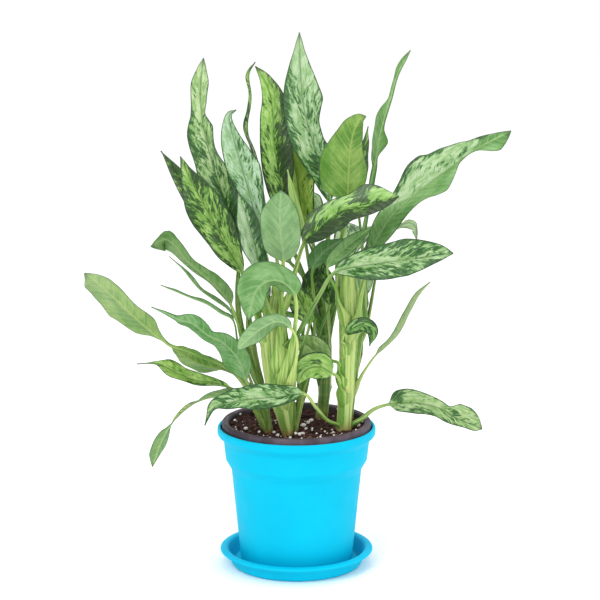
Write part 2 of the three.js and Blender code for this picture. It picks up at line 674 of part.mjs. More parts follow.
// A cane: a plumb foot in the soil, then the leaning stem, drawn in at its top.
function caneGeometry(shoot) {
  const sides = caneSides;
  const [x, y] = shoot.cane[0];
  const line = middleLine(shoot.cane.map(vector));
  const levels = [0.11, 0.22, 0.33, 0.45, 0.56, 0.67, 0.78, 0.89, 0.985, 1];
  const sections = [
    { centre: new THREE.Vector3(x, y, soilLevel - soilDepthAtCanes), radius: shoot.caneRadius[0] },
    { centre: new THREE.Vector3(x, y, soilLevel + 3), radius: shoot.caneRadius[0] },
  ];
  for (const share of levels) {
    const radius = caneRadiusAt(shoot, share) * (share === 1 ? 0.6 : 1);
    sections.push({ centre: line.getPoint(share), radius });
  }
  const position = [];
  const index = [];
  sections.forEach(({ centre, radius }, level) => {
    for (let side = 0; side < sides; side += 1) {
      const angle = 2 * Math.PI * side / sides;
      position.push(centre.x + radius * Math.cos(angle), centre.y + radius * Math.sin(angle), centre.z);
      if (level > 0) {
        const a = (level - 1) * sides + side;
        const b = (level - 1) * sides + (side + 1) % sides;
        index.push(a, b, b + sides, a, b + sides, a + sides);
      }
    }
  });
  const top = (sections.length - 1) * sides;
  for (let side = 1; side < sides - 1; side += 1) {
    index.push(0, side + 1, side, top, top + side, top + side + 1);
  }
  const geometry = new THREE.BufferGeometry();
  geometry.setAttribute("position", new THREE.Float32BufferAttribute(position, 3));
  geometry.setIndex(index);
  return geometry;
}

function shootGroup(shoot) {
  const group = new THREE.Group();
  group.add(mesh(`cane_${shoot.name}`, caneGeometry(shoot), "cane"));
  shoot.leaves.forEach((leaf, place) => {
    const name = `leaf_${shoot.name}_${place + 1}`;
    group.add(mesh(name, leafGeometry(shoot, leaf, place), leaf.look));
  });
  return group;
}

// Pots

function saucer() {
  const rim = saucerRadius;
  const top = saucerHeight;
  return turned([
    [0, 0], [66, 0], [67.5, 2], [69.5, 9], [72, 12.5], [rim - 1.7, 13.8], [rim, 14.6], [rim, 15.8],
    [rim - 1.4, top - 0.6], [72.4, top], [70.2, 16], [67.5, 9], [65, 3.6], [64, floorThickness],
    [0, floorThickness],
  ]);
}

// A pot's floor with a ring of drain holes.
function drained(geometry, { holes, radius, reach }) {
  const drillTop = 20;
  const drillSides = 8;
  let solid = solidFrom(geometry);
  for (let hole = 0; hole < holes; hole += 1) {
    const angle = 2 * Math.PI * (hole + 0.5) / holes;
    const [x, y] = [reach * Math.cos(angle), reach * Math.sin(angle)];
    const drill = upright(radius, 0, drillTop, x, y, drillSides);
    solid = solid.subtract(solidFrom(drill));
  }
  return geometryFrom(solid);
}

const outerFloorTop = 2 * floorThickness + 0.4;

function outerPot() {
  const lip = potRadius;
  const floor = floorThickness + gap;
  const wall = turned([
    [0, floor], [55.5, floor], [57.3, 4.5], [66.8, 101], [68.2, 104], [72.6, 111.5], [74.7, 131],
    [76, 133], [lip - 1.4, 136.5], [lip, 138.5], [lip, potTop - 1.6], [lip - 1.2, potTop],
    [lip - 2.8, potTop], [lip - 3.8, potTop - 1.6], [lip - 3.8, 139.5], [74, 135], [72.6, 131],
    [70.6, 112.5], [66.2, 104.8], [64.8, 101.6], [55.4, outerFloorTop], [0, outerFloorTop],
  ]);
  return drained(wall, outerPotDrain);
}

// The nursery pot's inner wall, which the soil fills.
const growFloorTop = 7.5;
const growPotInside = [[69.3, 134], [66.6, 110.6], [62.1, 102], [51.6, growFloorTop]];

function growPot() {
  const rim = growPotRadius;
  const top = growPotTop;
  const floor = outerFloorTop + gap;
  const wall = turned([
    [0, floor], [51.5, floor], [53.2, growFloorTop], [63.6, 101], [68.2, 110], [71.2, 134],
    [rim - 1.1, 139.5], [rim, 142], [rim, top - 1.5], [rim - 1.1, top], [rim - 5.8, top - 0.4],
    [rim - 7, top - 2], ...growPotInside, [0, growFloorTop],
  ]);
  return drained(wall, growPotDrain);
}

// Soil: lumpy on top, a little higher by the wall, with a plain hole for each cane.
function soil() {
  const [collar, step, waist, foot] = growPotInside.map(([radius, height]) => [radius - gap, height]);
  const topRings = [13, 26, 39, 51, 61];
  const riseAtWall = 3;
  const swell = (x, y) => 1.3 * Math.sin(x * 0.21 + 1) * Math.cos(y * 0.17);
  const ripple = (x, y) => 0.8 * Math.sin(x * 0.09 - y * 0.4);
  const bottom = growFloorTop + gap;
  const profile = [[0, bottom], [foot[0], bottom], waist, step, collar, [collar[0], soilLevel + riseAtWall]];
  for (const radius of topRings.toReversed()) {
    profile.push([radius, soilLevel + riseAtWall * (radius / collar[0]) ** 4]);
  }
  const geometry = turned([...profile, [0, soilLevel]]);
  const position = geometry.attributes.position;
  for (let point = 0; point < position.count; point += 1) {
    const [x, y, z] = [position.getX(point), position.getY(point), position.getZ(point)];
    if (z > soilLevel - 1) {
      position.setZ(point, z + swell(x, y) + ripple(x, y));
    }
  }
  let solid = solidFrom(geometry);
  for (const shoot of shoots) {
    const [x, y] = shoot.cane[0];
    const holeBottom = soilLevel - soilDepthAtCanes - gap;
    const hole = upright(shoot.caneRadius[0] + 2 * gap, holeBottom, soilLevel + 10, x, y, caneSides);
    solid = solid.subtract(solidFrom(hole));
  }
  return geometryFrom(solid);
}

const plant = new THREE.Group();
plant.name = "potted_chinese_evergreen";
plant.add(mesh("saucer", saucer(), "potPlastic"));
plant.add(mesh("outer_pot", outerPot(), "potPlastic"));
plant.add(mesh("grow_pot", growPot(), "growPotPlastic"));
plant.add(mesh("soil", soil(), "soil"));
for (const shoot of shoots) {
  plant.add(shootGroup(shoot));
}

export default plant;
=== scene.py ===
"""A potted Chinese evergreen: leafy shoots in a nursery pot, which stands in a cyan pot on its saucer."""

import math

import bpy
import numpy as np
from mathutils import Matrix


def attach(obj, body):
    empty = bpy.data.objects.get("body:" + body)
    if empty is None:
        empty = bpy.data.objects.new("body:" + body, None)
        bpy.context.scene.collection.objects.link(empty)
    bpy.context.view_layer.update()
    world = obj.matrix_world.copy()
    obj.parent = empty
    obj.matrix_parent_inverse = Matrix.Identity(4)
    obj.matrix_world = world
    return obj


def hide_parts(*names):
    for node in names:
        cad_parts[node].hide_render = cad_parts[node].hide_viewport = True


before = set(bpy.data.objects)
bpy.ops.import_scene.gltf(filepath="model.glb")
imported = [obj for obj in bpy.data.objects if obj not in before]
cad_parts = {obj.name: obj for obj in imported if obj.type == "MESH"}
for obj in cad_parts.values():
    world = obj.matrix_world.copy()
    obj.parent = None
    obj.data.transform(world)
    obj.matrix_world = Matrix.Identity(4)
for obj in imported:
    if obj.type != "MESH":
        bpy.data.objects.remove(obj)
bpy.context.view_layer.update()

MM = 0.001
SEED = 20

LEAF_FOLD = 0.3  # radians that each half of a blade rises from flat
WAVE_SHARE = 0.05  # height of the margin's wave, of the blade's width
WAVES_ON_BLADE = 2.5
NECK_SHARE = 0.6  # of a stalk's foot radius, where the blade begins
STALK_SEAT = 0.75  # how far a stalk's foot stands out from its cane's side
GAP = 0.3  # between a cane's top and the stalk that goes on from it
CANE_SIDES = 12  # of the solid cane, which the stalks' feet stand off
SOIL_LEVEL = 143
SOIL_DEPTH_AT_CANES = 26


def leaf(joint, width, look, faces, stalk, blade, outline=None, dark=0, light=0, tone=0,
         paleness=None, plain=None):
    """One leaf. joint is how far up its cane it grows, width is the blade's widest, look is its finish, and
    faces are the ways that its upper side looks from the blade's base to its tip. stalk and blade are the
    points of its middle line. outline says, at shares of the blade's length, how far it reaches from its
    rib on its right and on its left. dark is how much more of it the dark patches take; on a half that
    lies in shade, more of them also paint that shade. light is painted light and shade, with some of the
    leaf's own paleness: how much paler or darker the leaf is drawn. Each is a number, or three for all
    over, more on the right and more toward the tip. tone goes from blue-green to yellow-green, and
    paleness is the stalk's where it isn't the shoot's. plain says where no pattern shows: "all" over, or
    where the blade is "folded" over."""
    return {"joint": joint, "width": width, "look": look, "faces": faces, "stalk": stalk, "blade": blade,
            "outline": outline, "dark": dark, "light": light, "tone": tone, "paleness": paleness,
            "plain": plain}


# Each shoot: its cane's middle line from the soil up, the cane's radius at each of those points, how pale
# its stalks and cane are from dark green to pale lime, how far up a wide pale joint shows if one
# does, and its leaves. Millimetres.

SHOOTS = [
    {"name": "front_left", "cane_radius": (5.8, 13, 13.6, 8), "paleness": 0.95,
     "cane": [(-9, -24, 143), (-17, -22, 190), (-22, -18, 239), (-20, -14, 287)],
     "leaves": [
        leaf(0.28, 21, "plain", [(0, 1, 0.5), (0.2, 1, 0.3)], [(1, -50, 237)],
             [(-5, -56, 259), (-18, -60, 267), (-32, -62, 262), (-46, -63, 251), (-59, -64, 239)],
             [(0.1, 6, 5), (0.3, 9, 9), (0.5, 11, 10), (0.7, 10, 9), (0.85, 6, 7), (0.95, 3, 3)],
             light=0.2, tone=-0.05),
        leaf(0.4, 35, "plain", [(0, 1, 0.5), (0.3, 1, 0.5), (0.3, 1, 0.2)], [(-1, -48, 262)],
             [(-1, -53, 291), (-12, -55, 305), (-26, -58, 308), (-38, -61, 300), (-44, -62, 286),
              (-47, -61, 269)],
             [(0.08, 6, 10), (0.2, 12, 14), (0.4, 12, 19), (0.55, 11, 21), (0.7, 12, 19), (0.8, 12, 14),
              (0.9, 7, 8), (0.96, 3, 4)],
             light=0.1, tone=-0.25),
        leaf(0.52, 40, "plain", [(0, 1, 0)], [(-15, -32, 283)],
             [(-13, -38, 323), (-15, -42, 346), (-16, -46, 371), (-15, -48, 396)],
             [(0.05, 10, 12), (0.1, 14, 14), (0.2, 18, 18), (0.4, 20, 20), (0.6, 20, 19), (0.7, 18, 17),
              (0.8, 14, 14), (0.9, 9, 10)],
             light=0.2, tone=-0.05),
        leaf(0.62, 39, "silver", [(0, -1, 0.6)], [(5, -40, 257), (24, -42, 292)],
             [(37, -42, 312), (63, -46, 320), (92, -50, 325), (122, -54, 330), (154, -58, 335)],
             [(0.1, 8, 10), (0.2, 14, 13), (0.3, 18, 15), (0.4, 19, 17), (0.5, 20, 19), (0.6, 20, 20),
              (0.7, 16, 18), (0.8, 11, 15), (0.9, 6, 11), (0.95, 3, 7)],
             dark=(0.03, 0, -0.02), light=-0.04, tone=0.15, paleness=0.25),
        leaf(0.7, 47, "dark", [(-0.2, -1, 0)], [(-40, -18, 272)],
             [(-54, -7, 304), (-72, -2, 335), (-92, 6, 371), (-109, 14, 402), (-117, 20, 420)],
             [(0.1, 10, 8), (0.2, 15, 12), (0.3, 19, 14), (0.4, 22, 17), (0.5, 22, 19), (0.6, 20, 18),
              (0.7, 16, 15), (0.8, 11, 11), (0.9, 5, 5)],
             dark=-0.02, light=-0.1, tone=0.1),
        leaf(0.85, 33, "silver", [(0.5, -1, 0)], [(-30, -33, 284)],
             [(-34, -21, 305), (-40, -17, 331), (-48, -7, 358), (-58, 2, 385)],
             [(0.1, 7, 8), (0.2, 9, 12), (0.4, 10, 17), (0.6, 10, 16), (0.8, 7, 9), (0.9, 4, 5)],
             dark=(0.03, 0.1, -0.02), light=(0.02, -0.2, 0), tone=-0.3),
        leaf(0.91, 38, "silver", [(0, -1, 0)], [(-29, -14, 316)],
             [(-39, 4, 342), (-42, 8, 362), (-50, 15, 392), (-59, 24, 421), (-68, 38, 456), (-61, 38, 465)],
             [(0.1, 8, 6), (0.2, 12, 7), (0.3, 15, 9), (0.4, 18, 12), (0.5, 19, 15), (0.6, 15, 15),
              (0.7, 10, 14), (0.8, 6, 11), (0.9, 3, 6), (0.95, 2, 3)],
             dark=(-0.03, 0.02, -0.05), light=(0.06, 0, 0.05), tone=-0.6),
        leaf(0.93, 38, "lime", [(0, -1, 1)], [(-5, -21, 296)],
             [(7, -25, 338), (21, -27, 352), (34, -30, 365), (49, -33, 375), (68, -37, 380),
              (101, -42, 389)],
             [(0.08, 9, 10), (0.19, 15, 19), (0.36, 21, 15), (0.51, 22, 14), (0.69, 19, 20), (0.83, 13, 16),
              (0.92, 7, 9), (0.97, 3, 4)],
             dark=(0.08, 0.07, -0.02), light=(-0.14, -0.32, 0), tone=-0.15),
        leaf(1, 26, "dark", [(-3, -1, 0), (-2, -1, 0), (-1, -1, 0)], [(-20, 12, 315)],
             [(-29, 29, 348), (-35, 34, 384), (-43, 42, 418), (-50, 49, 443), (-47, 56, 476), (-49, 60, 498),
              (-42, 62, 511)],
             [(0.1, 6, 5), (0.3, 9, 6), (0.5, 9, 4), (0.6, 7, 6), (0.7, 4, 2), (0.8, 2, 2), (0.9, 2, 4)]),
     ]},
    {"name": "front_right", "cane_radius": (7.4, 8, 9.6, 8.4), "paleness": 0.9, "pale_joint": 0.27,
     "cane": [(48, -12, 143), (51, -10, 198), (53, -7, 254), (53, -4, 310)],
     "leaves": [
        leaf(0.04, 29, "silver", [(0, -1, 1)], [(66, -7, 154), (79, -2, 163)],
             [(94, 2, 167), (108, 4, 168), (127, 6, 167), (147, 8, 161), (168, 9, 149), (191, 10, 139)],
             [(0.05, 11, 10), (0.1, 13, 13), (0.2, 14, 14), (0.3, 15, 13), (0.4, 15, 11), (0.5, 14, 8),
              (0.6, 13, 6), (0.65, 12, 11), (0.7, 11, 15), (0.8, 9, 16), (0.9, 7, 14), (0.95, 5, 10)],
             dark=(0.02, 0, -0.02), light=(-0.14, 0, 0.04), tone=0.3, paleness=0.5),
        leaf(0.05, 27, "silver", [(0, -1, 0.8), (0, -1, 0.8), (0, -1, 0.8), (-0.6, -1, 0.5)],
             [(31, -26, 158), (19, -39, 175)],
             [(8, -46, 190), (-16, -54, 189), (-46, -60, 188), (-71, -64, 185), (-83, -66, 180),
              (-91, -67, 163)],
             [(0.1, 9, 8), (0.2, 12, 10), (0.3, 13, 12), (0.4, 14, 14), (0.5, 14, 14), (0.55, 13, 11),
              (0.6, 13, 9), (0.7, 10, 8), (0.8, 7, 4), (0.9, 3, 2)],
             dark=0.04, light=-0.04, tone=0.1),
        leaf(0.24, 29, "dark", [(0, -1, 0.5)], [(43, -23, 200)],
             [(36, -25, 206), (23, -29, 214), (9, -34, 211), (1, -38, 197)],
             dark=-0.12, tone=0.1),
        leaf(0.34, 27, "dark", [(0, -1, 0.4)], [(43, -16, 214)],
             [(35, -9, 216), (22, -4, 223), (9, 0, 231), (-4, 3, 238)],
             dark=-0.2, light=0.2, tone=0.1),
        leaf(0.54, 16, "dark", [(0, -1, 0.7)], [(46, -25, 241)],
             [(49, -29, 248), (58, -33, 255), (68, -35, 258), (76, -36, 251), (73, -37, 237)],
             dark=0.03, light=0.03, tone=-0.9),
        leaf(0.65, 54, "silver", [(-0.5, -1, 1), (-0.5, -1, 1), (-0.5, -1, 1), (0, -1, 2), (0, -1, 0.4)],
             [(64, -17, 282)],
             [(72, -5, 317), (82, -2, 340), (99, 2, 366), (126, 6, 389), (151, 9, 408), (175, 11, 425),
              (194, 12, 436), (215, 12, 447)],
             [(0.1, 12, 8), (0.2, 16, 12), (0.3, 17, 15), (0.4, 18, 22), (0.45, 20, 26), (0.5, 25, 28),
              (0.55, 27, 28), (0.6, 21, 24), (0.65, 12, 24), (0.7, 3, 22), (0.75, 2, 19), (0.8, 5, 13),
              (0.85, 12, 10), (0.9, 14, 7), (0.95, 9, 4)],
             dark=-0.01, light=(0, 0.06, 0), plain="folded"),
        leaf(0.72, 16, "silver", [(0, -1, 0.3)], [(40, -22, 291)],
             [(31, -18, 313), (50, -18, 334), (77, -20, 356)],
             light=0.03, plain="all"),
        leaf(0.78, 49, "plain", [(0, 1, 0)], [(42, 4, 318), (48, 3, 350)],
             [(51, -2, 376), (52, -4, 398), (53, -7, 423), (56, -9, 445), (62, -10, 460), (69, -8, 464)],
             [(0.05, 14, 10), (0.14, 26, 15), (0.33, 30, 19), (0.47, 29, 16), (0.61, 23, 12), (0.75, 16, 10),
              (0.86, 12, 7), (0.95, 5, 4)],
             light=(-0.12, 0.06, 0), tone=0.7),
     ]},
    {"name": "back", "cane_radius": (6.5, 6, 5.4, 4.5), "paleness": 0.25,
     "cane": [(26, 38, 143), (30, 39, 184), (30, 40, 231), (27, 40, 284)],
     "leaves": [
        leaf(0.25, 35, "dark", [(0, -1, 1), (0, 0, 1), (0, 0, 1)], [(31, 66, 220)],
             [(31, 88, 235), (27, 118, 246), (21, 148, 244), (17, 176, 227)]),
        leaf(0.35, 14, "plain", [(0, 1, 1)], [(14, 46, 244)],
             [(4, 47, 248), (-22, 49, 252), (-51, 49, 256)]),
        leaf(0.62, 37, "silver", [(0, -1, 1), (0, -0.3, 1), (0, 0, 1)], [(12, 76, 277)],
             [(-7, 87, 299), (-28, 112, 320), (-46, 140, 329), (-59, 166, 328)]),
        leaf(0.7, 37, "silver", [(0, -1, 1), (0, -0.3, 1), (0, 0, 1)], [(44, 73, 275)],
             [(48, 90, 299), (59, 116, 320), (68, 144, 325), (75, 168, 319)]),
        leaf(0.75, 39, "lime", [(0, -1, 0)], [(7, 30, 296)],
             [(-7, 31, 333), (-13, 39, 372), (-22, 50, 422), (-25, 57, 468), (-32, 62, 491), (-42, 68, 506)],
             [(0.1, 8, 9), (0.2, 10, 12), (0.3, 12, 15), (0.4, 17, 16), (0.5, 18, 15), (0.6, 18, 14),
              (0.7, 17, 13), (0.8, 14, 9), (0.9, 8, 5)],
             dark=(0.03, 0.08, -0.1), light=(-0.2, -0.2, 0.14), tone=0.2),
        leaf(0.79, 39, "silver", [(0, -1, 1)], [(22, 83, 300)],
             [(16, 104, 320), (10, 118, 347), (1, 146, 360), (-5, 172, 360)]),
        leaf(0.88, 31, "dark", [(0, -1, 0)], [(14, 52, 299)],
             [(9, 58, 328), (4, 66, 363), (-1, 74, 398), (-9, 84, 441)],
             [(0.1, 9, 9), (0.2, 13, 13), (0.4, 16, 15), (0.5, 18, 15), (0.6, 20, 14), (0.7, 17, 11),
              (0.8, 12, 8), (0.9, 6, 4)],
             dark=-0.12, light=-0.06, tone=0.7),
        leaf(0.94, 9, "spear", [(0, -1, 0)], [(20, 30, 310)],
             [(8, 26, 342), (-2, 24, 373), (-9, 24, 406)]),
        leaf(1, 44, "silver", [(0, -1, 0)], [(32, 36, 330)],
             [(34, 38, 368), (28, 41, 398), (16, 46, 433), (7, 54, 468), (4, 64, 503), (3, 74, 540)],
             [(0.1, 8, 9), (0.2, 12, 14), (0.3, 15, 18), (0.38, 12, 21), (0.45, 12, 22), (0.55, 18, 21),
              (0.6, 21, 20), (0.7, 17, 17), (0.8, 11, 12), (0.9, 5, 6)],
             dark=(-0.01, 0, -0.12), light=(0.06, 0, 0.09), tone=-0.2),
     ]},
    {"name": "left", "cane_radius": (5.2, 4.8, 4.2, 3.2), "paleness": 0.5,
     "cane": [(-29, -12, 143), (-34, -8, 174), (-41, -4, 207), (-48, 0, 237)],
     "leaves": [
        leaf(0.08, 20, "lime", [(0, 1, 1), (0, 1, 2), (-1, -1, 0), (-0.6, 1, 0), (-0.6, 1, 0)],
             [(-46, -34, 178)],
             [(-58, -41, 192), (-74, -43, 188), (-91, -44, 185), (-108, -44, 177), (-122, -44, 163),
              (-132, -44, 147), (-139, -44, 131), (-145, -44, 114)],
             [(0.1, 8, 8), (0.2, 9, 9), (0.3, 5, 5), (0.37, 2, 2), (0.5, 2, 2), (0.65, 3, 3), (0.7, 5, 6),
              (0.8, 8, 8), (0.9, 4, 8), (0.95, 2, 5)],
             light=0.22, tone=0.6, paleness=0.8),
        leaf(0.15, 25, "dark", [(0, -1, 2)], [(-52, 2, 176)],
             [(-66, -3, 185), (-83, -4, 191), (-103, -4, 194), (-123, -4, 202), (-141, -4, 211),
              (-162, -4, 211)],
             [(0.1, 5, 5), (0.2, 7, 7), (0.3, 8, 9), (0.4, 9, 12), (0.5, 10, 13), (0.6, 12, 13),
              (0.7, 10, 11), (0.75, 6, 8), (0.8, 3, 4), (0.9, 1, 1)],
             dark=-0.08, light=0.03, tone=0.2),
        leaf(0.21, 24, "plain", [(0, 1, 0.2), (0, 1, 0.4), (0, 1, 0.6)], [(-44, -29, 187)],
             [(-50, -34, 200), (-58, -36, 223), (-73, -37, 240), (-88, -38, 248), (-103, -39, 260),
              (-116, -40, 264), (-131, -41, 272), (-144, -42, 278)],
             [(0.06, 8, 6), (0.12, 15, 10), (0.2, 18, 12), (0.36, 12, 10), (0.48, 8, 6), (0.56, 8, 9),
              (0.64, 9, 10), (0.74, 7, 7), (0.8, 3, 3), (0.9, 2, 2)],
             light=-0.09, tone=-0.5),
        leaf(0.3, 39, "plain", [(0, 1, 0.5)], [(-57, -8, 197), (-75, -11, 212), (-108, -14, 226)],
             [(-125, -16, 232), (-136, -18, 240), (-157, -21, 258), (-181, -25, 282), (-201, -28, 302),
              (-211, -30, 310)],
             [(0.1, 2, 3), (0.2, 8, 7), (0.25, 13, 10), (0.3, 16, 11), (0.4, 17, 11), (0.5, 21, 11),
              (0.55, 24, 11), (0.6, 23, 11), (0.7, 19, 11), (0.8, 17, 11), (0.9, 15, 8), (0.97, 5, 3)],
             light=(0.2, 0, 0.08), tone=0.75),
        leaf(0.4, 25, "plain", [(0, 1, 0.8)], [(-57, 10, 194)],
             [(-76, 8, 203), (-93, 8, 206), (-111, 8, 214), (-127, 8, 226)],
             [(0.1, 11, 10), (0.2, 14, 11), (0.3, 17, 12), (0.4, 19, 13), (0.5, 20, 13), (0.6, 18, 12),
              (0.7, 14, 11), (0.8, 10, 10), (0.9, 6, 8)],
             light=-0.1, tone=0.65),
        leaf(0.5, 33, "silver", [(0, -1, 1), (0, 0, 1)], [(-44, 30, 230)],
             [(-40, 55, 250), (-43, 81, 268), (-47, 108, 276), (-50, 134, 268)]),
        leaf(0.43, 8, "plain", [(0, 1, 1.5)], [(-58, -10, 228)],
             [(-63, -14, 257), (-75, -15, 266), (-92, -17, 277), (-112, -18, 285), (-136, -20, 296)],
             [(0.1, 5, 4), (0.45, 5, 4), (0.6, 4, 3), (0.8, 3, 3), (0.9, 2, 2)],
             light=-0.08, tone=-0.3),
        leaf(0.62, 23, "plain", [(0, 1, 1)], [(-53, -22, 235), (-58, -29, 257)],
             [(-65, -32, 277), (-74, -33, 291), (-91, -35, 308), (-107, -37, 322), (-127, -40, 345),
              (-144, -42, 339)],
             [(0.1, 4, 9), (0.2, 6, 11), (0.3, 6, 10), (0.4, 7, 7), (0.5, 7, 7), (0.6, 9, 7), (0.7, 12, 7),
              (0.75, 16, 7), (0.8, 20, 8), (0.85, 24, 12), (0.9, 22, 6), (0.95, 12, 4)],
             light=-0.34, tone=0.25),
        leaf(0.66, 14, "plain", [(0, 1, 2.5)], [(-54, -5, 238)],
             [(-61, -2, 256), (-69, 1, 267), (-83, 4, 276), (-100, 8, 288), (-116, 11, 307),
              (-129, 13, 319)],
             light=-0.16, tone=-0.2),
        leaf(0.8, 37, "silver", [(0, -1, 0), (0, -1, 0), (-1, -1, 0), (-0.3, -1, 0), (0, -1, 0)],
             [(-57, 8, 246), (-60, 9, 286)],
             [(-57, 13, 336), (-71, 25, 371), (-85, 36, 408), (-95, 50, 448), (-98, 62, 482),
              (-95, 72, 514)],
             [(0.1, 11, 10), (0.2, 15, 14), (0.3, 17, 17), (0.4, 18, 19), (0.5, 19, 20), (0.6, 16, 18),
              (0.66, 8, 14), (0.7, 4, 11), (0.76, 7, 10), (0.85, 9, 10), (0.95, 4, 5)],
             dark=(0.05, 0, -0.12), light=(-0.02, 0, 0.03), tone=0.3),
        leaf(0.93, 25, "dark", [(0, -1, 0)], [(-51, 26, 280)],
             [(-62, 35, 313), (-91, 50, 355), (-118, 62, 390), (-140, 75, 418)],
             dark=0.03, light=-0.05, tone=0.2),
     ]},
    {"name": "right", "cane_radius": (3.6, 3.4, 3.2, 3), "paleness": 0.45,
     "cane": [(54, 17, 143), (59, 20, 185), (65, 23, 228), (71, 26, 271)],
     "leaves": [
        leaf(0.35, 11, "plain", [(0, 1, 1)], [(69, 16, 198)],
             [(81, 21, 214), (96, 24, 228), (106, 26, 242), (114, 28, 258), (123, 30, 273), (137, 32, 289)],
             [(0.1, 4, 4), (0.4, 4, 4), (0.6, 4, 4), (0.8, 4, 2), (0.9, 3, 1)],
             light=0.3, tone=1, paleness=0.9),
        leaf(0.55, 33, "silver", [(0, -1, 1), (0, 0, 1)], [(68, 50, 243)],
             [(67, 72, 262), (65, 100, 277), (63, 128, 281), (64, 152, 269)]),
        leaf(0.78, 12, "dark", [(0, -1, 1)], [(81, 27, 297)],
             [(86, 39, 331), (101, 46, 341), (115, 50, 347), (123, 53, 341), (124, 55, 328)],
             [(0.1, 3, 3), (0.4, 2, 2), (0.5, 6, 2), (0.6, 12, 4), (0.7, 9, 4), (0.8, 6, 1), (0.9, 3, 1)],
             dark=-0.4, light=0.34, tone=-0.5),
        leaf(0.85, 27, "plain", [(0.6, 1, 0), (1, 1, 0), (1.6, 1, 0)], [(69, 17, 283)],
             [(67, 27, 323), (71, 32, 358), (76, 36, 391), (81, 40, 414), (85, 44, 439), (91, 48, 462),
              (96, 52, 477), (103, 56, 499), (116, 62, 523)],
             [(0.1, 3, 3), (0.4, 3, 3), (0.45, 9, 2), (0.5, 12, 8), (0.53, 14, 11), (0.6, 16, 3),
              (0.65, 18, 2), (0.7, 14, 2), (0.75, 4, 2), (0.85, 6, 2), (0.9, 9, 2), (0.95, 7, 2)],
             light=-0.02, tone=0.15),
        leaf(1, 18, "dark", [(1, -1, 0)], [(70, 27, 287)],
             [(71, 36, 302), (73, 41, 320), (76, 46, 338)]),
        leaf(0.96, 18, "dark", [(1, -1, 0)], [(68, 57, 323)],
             [(63, 64, 369), (66, 72, 404), (74, 80, 443)]),
     ]},
    {"name": "middle", "cane_radius": (3.6, 3.2, 3, 2.6), "paleness": 0.7,
     "cane": [(-2, -12, 143), (1, -11, 158), (4, -10, 172), (7, -9, 186)],
     "leaves": [
        leaf(0.45, 25, "dark", [(0, -1, 0.2)], [(-2, -11, 196), (6, -14, 230)],
             [(13, -8, 253), (7, -6, 270), (-2, -5, 286), (-11, -5, 298)],
             light=-0.04, tone=0.3),
        leaf(0.85, 18, "dark", [(0, -1, 0)], [(13, 4, 201), (23, 14, 238)],
             [(34, 10, 269), (32, 12, 284), (28, 15, 300), (22, 17, 317)],
             dark=0.04, light=-0.2, tone=-0.3),
        leaf(0.7, 23, "dark", [(0, -1, 0)], [(4, 6, 208), (7, 15, 242)],
             [(12, 17, 273), (18, 18, 293), (28, 20, 316)]),
        leaf(1, 20, "plain", [(0, 1, 0.4)], [(13, -1, 206), (18, 8, 238), (18, 6, 276)],
             [(16, -2, 308), (28, -4, 327), (47, -6, 341)],
             light=-0.26, tone=-0.6),
     ]},
]


# Lines and frames


def unit(vectors):
    return vectors / np.maximum(np.linalg.norm(vectors, axis=-1, keepdims=True), 1e-9)


def smoothstep(value, low, high):
    share = np.clip((value - low) / (high - low), 0, 1)
    return share * share * (3 - 2 * share)


def on_line(points, shares):
    """Points on the smooth line through the given ones, with an equal share of it between each two."""
    points = np.asarray(points, float)
    count = len(points)
    ends = np.vstack([2 * points[0] - points[1], points, 2 * points[-1] - points[-2]])
    place = np.atleast_1d(shares) * (count - 1)
    first = np.clip(place.astype(int), 0, count - 2)
    past = (place - first)[:, None]
    before, start, end, after = ends[first], ends[first + 1], ends[first + 2], ends[first + 3]
    leave, arrive = (end - before) / 2, (after - start) / 2
    return ((2 * start - 2 * end + leave + arrive) * past**3
            + (3 * end - 3 * start - 2 * leave - arrive) * past**2 + leave * past + start)


def between(values, lengths, at):
    return np.stack([np.interp(at, lengths, values[:, axis]) for axis in range(3)], 1)


def rounded(places, values, at):
    """Values at places, joined by a smooth curve that never swings past them."""
    steps = np.diff(places)
    slopes = np.diff(values) / steps
    turn = slopes[:-1] * slopes[1:] > 0
    inner = np.where(turn, 2 * slopes[:-1] * slopes[1:] / np.where(turn, slopes[:-1] + slopes[1:], 1), 0)
    slope = np.concatenate([[slopes[0]], inner, [slopes[-1]]])
    first = np.clip(np.searchsorted(places, at, side="right") - 1, 0, len(places) - 2)
    step = steps[first]
    past = np.clip((at - places[first]) / step, 0, 1)
    return (values[first] * (1 + 2 * past) * (1 - past)**2 + values[first + 1] * past**2 * (3 - 2 * past)
            + step * slope[first] * past * (1 - past)**2 - step * slope[first + 1] * past**2 * (1 - past))


def cane_radius_at(shoot, share):
    radii = shoot["cane_radius"]
    return np.interp(share, np.linspace(0, 1, len(radii)), radii)


def stalk_radius(leaf):
    return min(max(0.055 * leaf["width"] + 1.2, 1.6), 3.4)


def blade_shape(share):
    """The half-width of a plain blade along it, as a share of its widest."""
    return np.maximum(0, np.sin(np.pi * np.clip(share, 0, 1)**0.8))**(0.65 + 0.4 * share)


def blade_reach(leaf, share, column):
    """How far a blade reaches from its rib, on its right in column 1 and on its left in column 2."""
    if not leaf["outline"]:
        return leaf["width"] / 2 * blade_shape(share)
    outline = np.array(leaf["outline"], float)
    first, last = outline[0], outline[-1]
    base = first[column] * (np.maximum(share, 0) / first[0])**0.7
    tip = last[column] * (np.maximum(1 - share, 0) / (1 - last[0]))**0.8
    inside = rounded(outline[:, 0], outline[:, column], share)
    return np.where(share < first[0], base, np.where(share > last[0], tip, inside))


def faces_at(leaf, share):
    """The ways that the upper side looks at shares of the blade's length."""
    faces = unit(np.array(leaf["faces"], float))
    place = np.clip(share, 0, 1) * (len(faces) - 1)
    first = np.clip(place.astype(int), 0, max(len(faces) - 2, 0))
    after = np.minimum(first + 1, len(faces) - 1)
    blend = smoothstep(place - first, 0, 1)[:, None]
    return faces[first] * (1 - blend) + faces[after] * blend


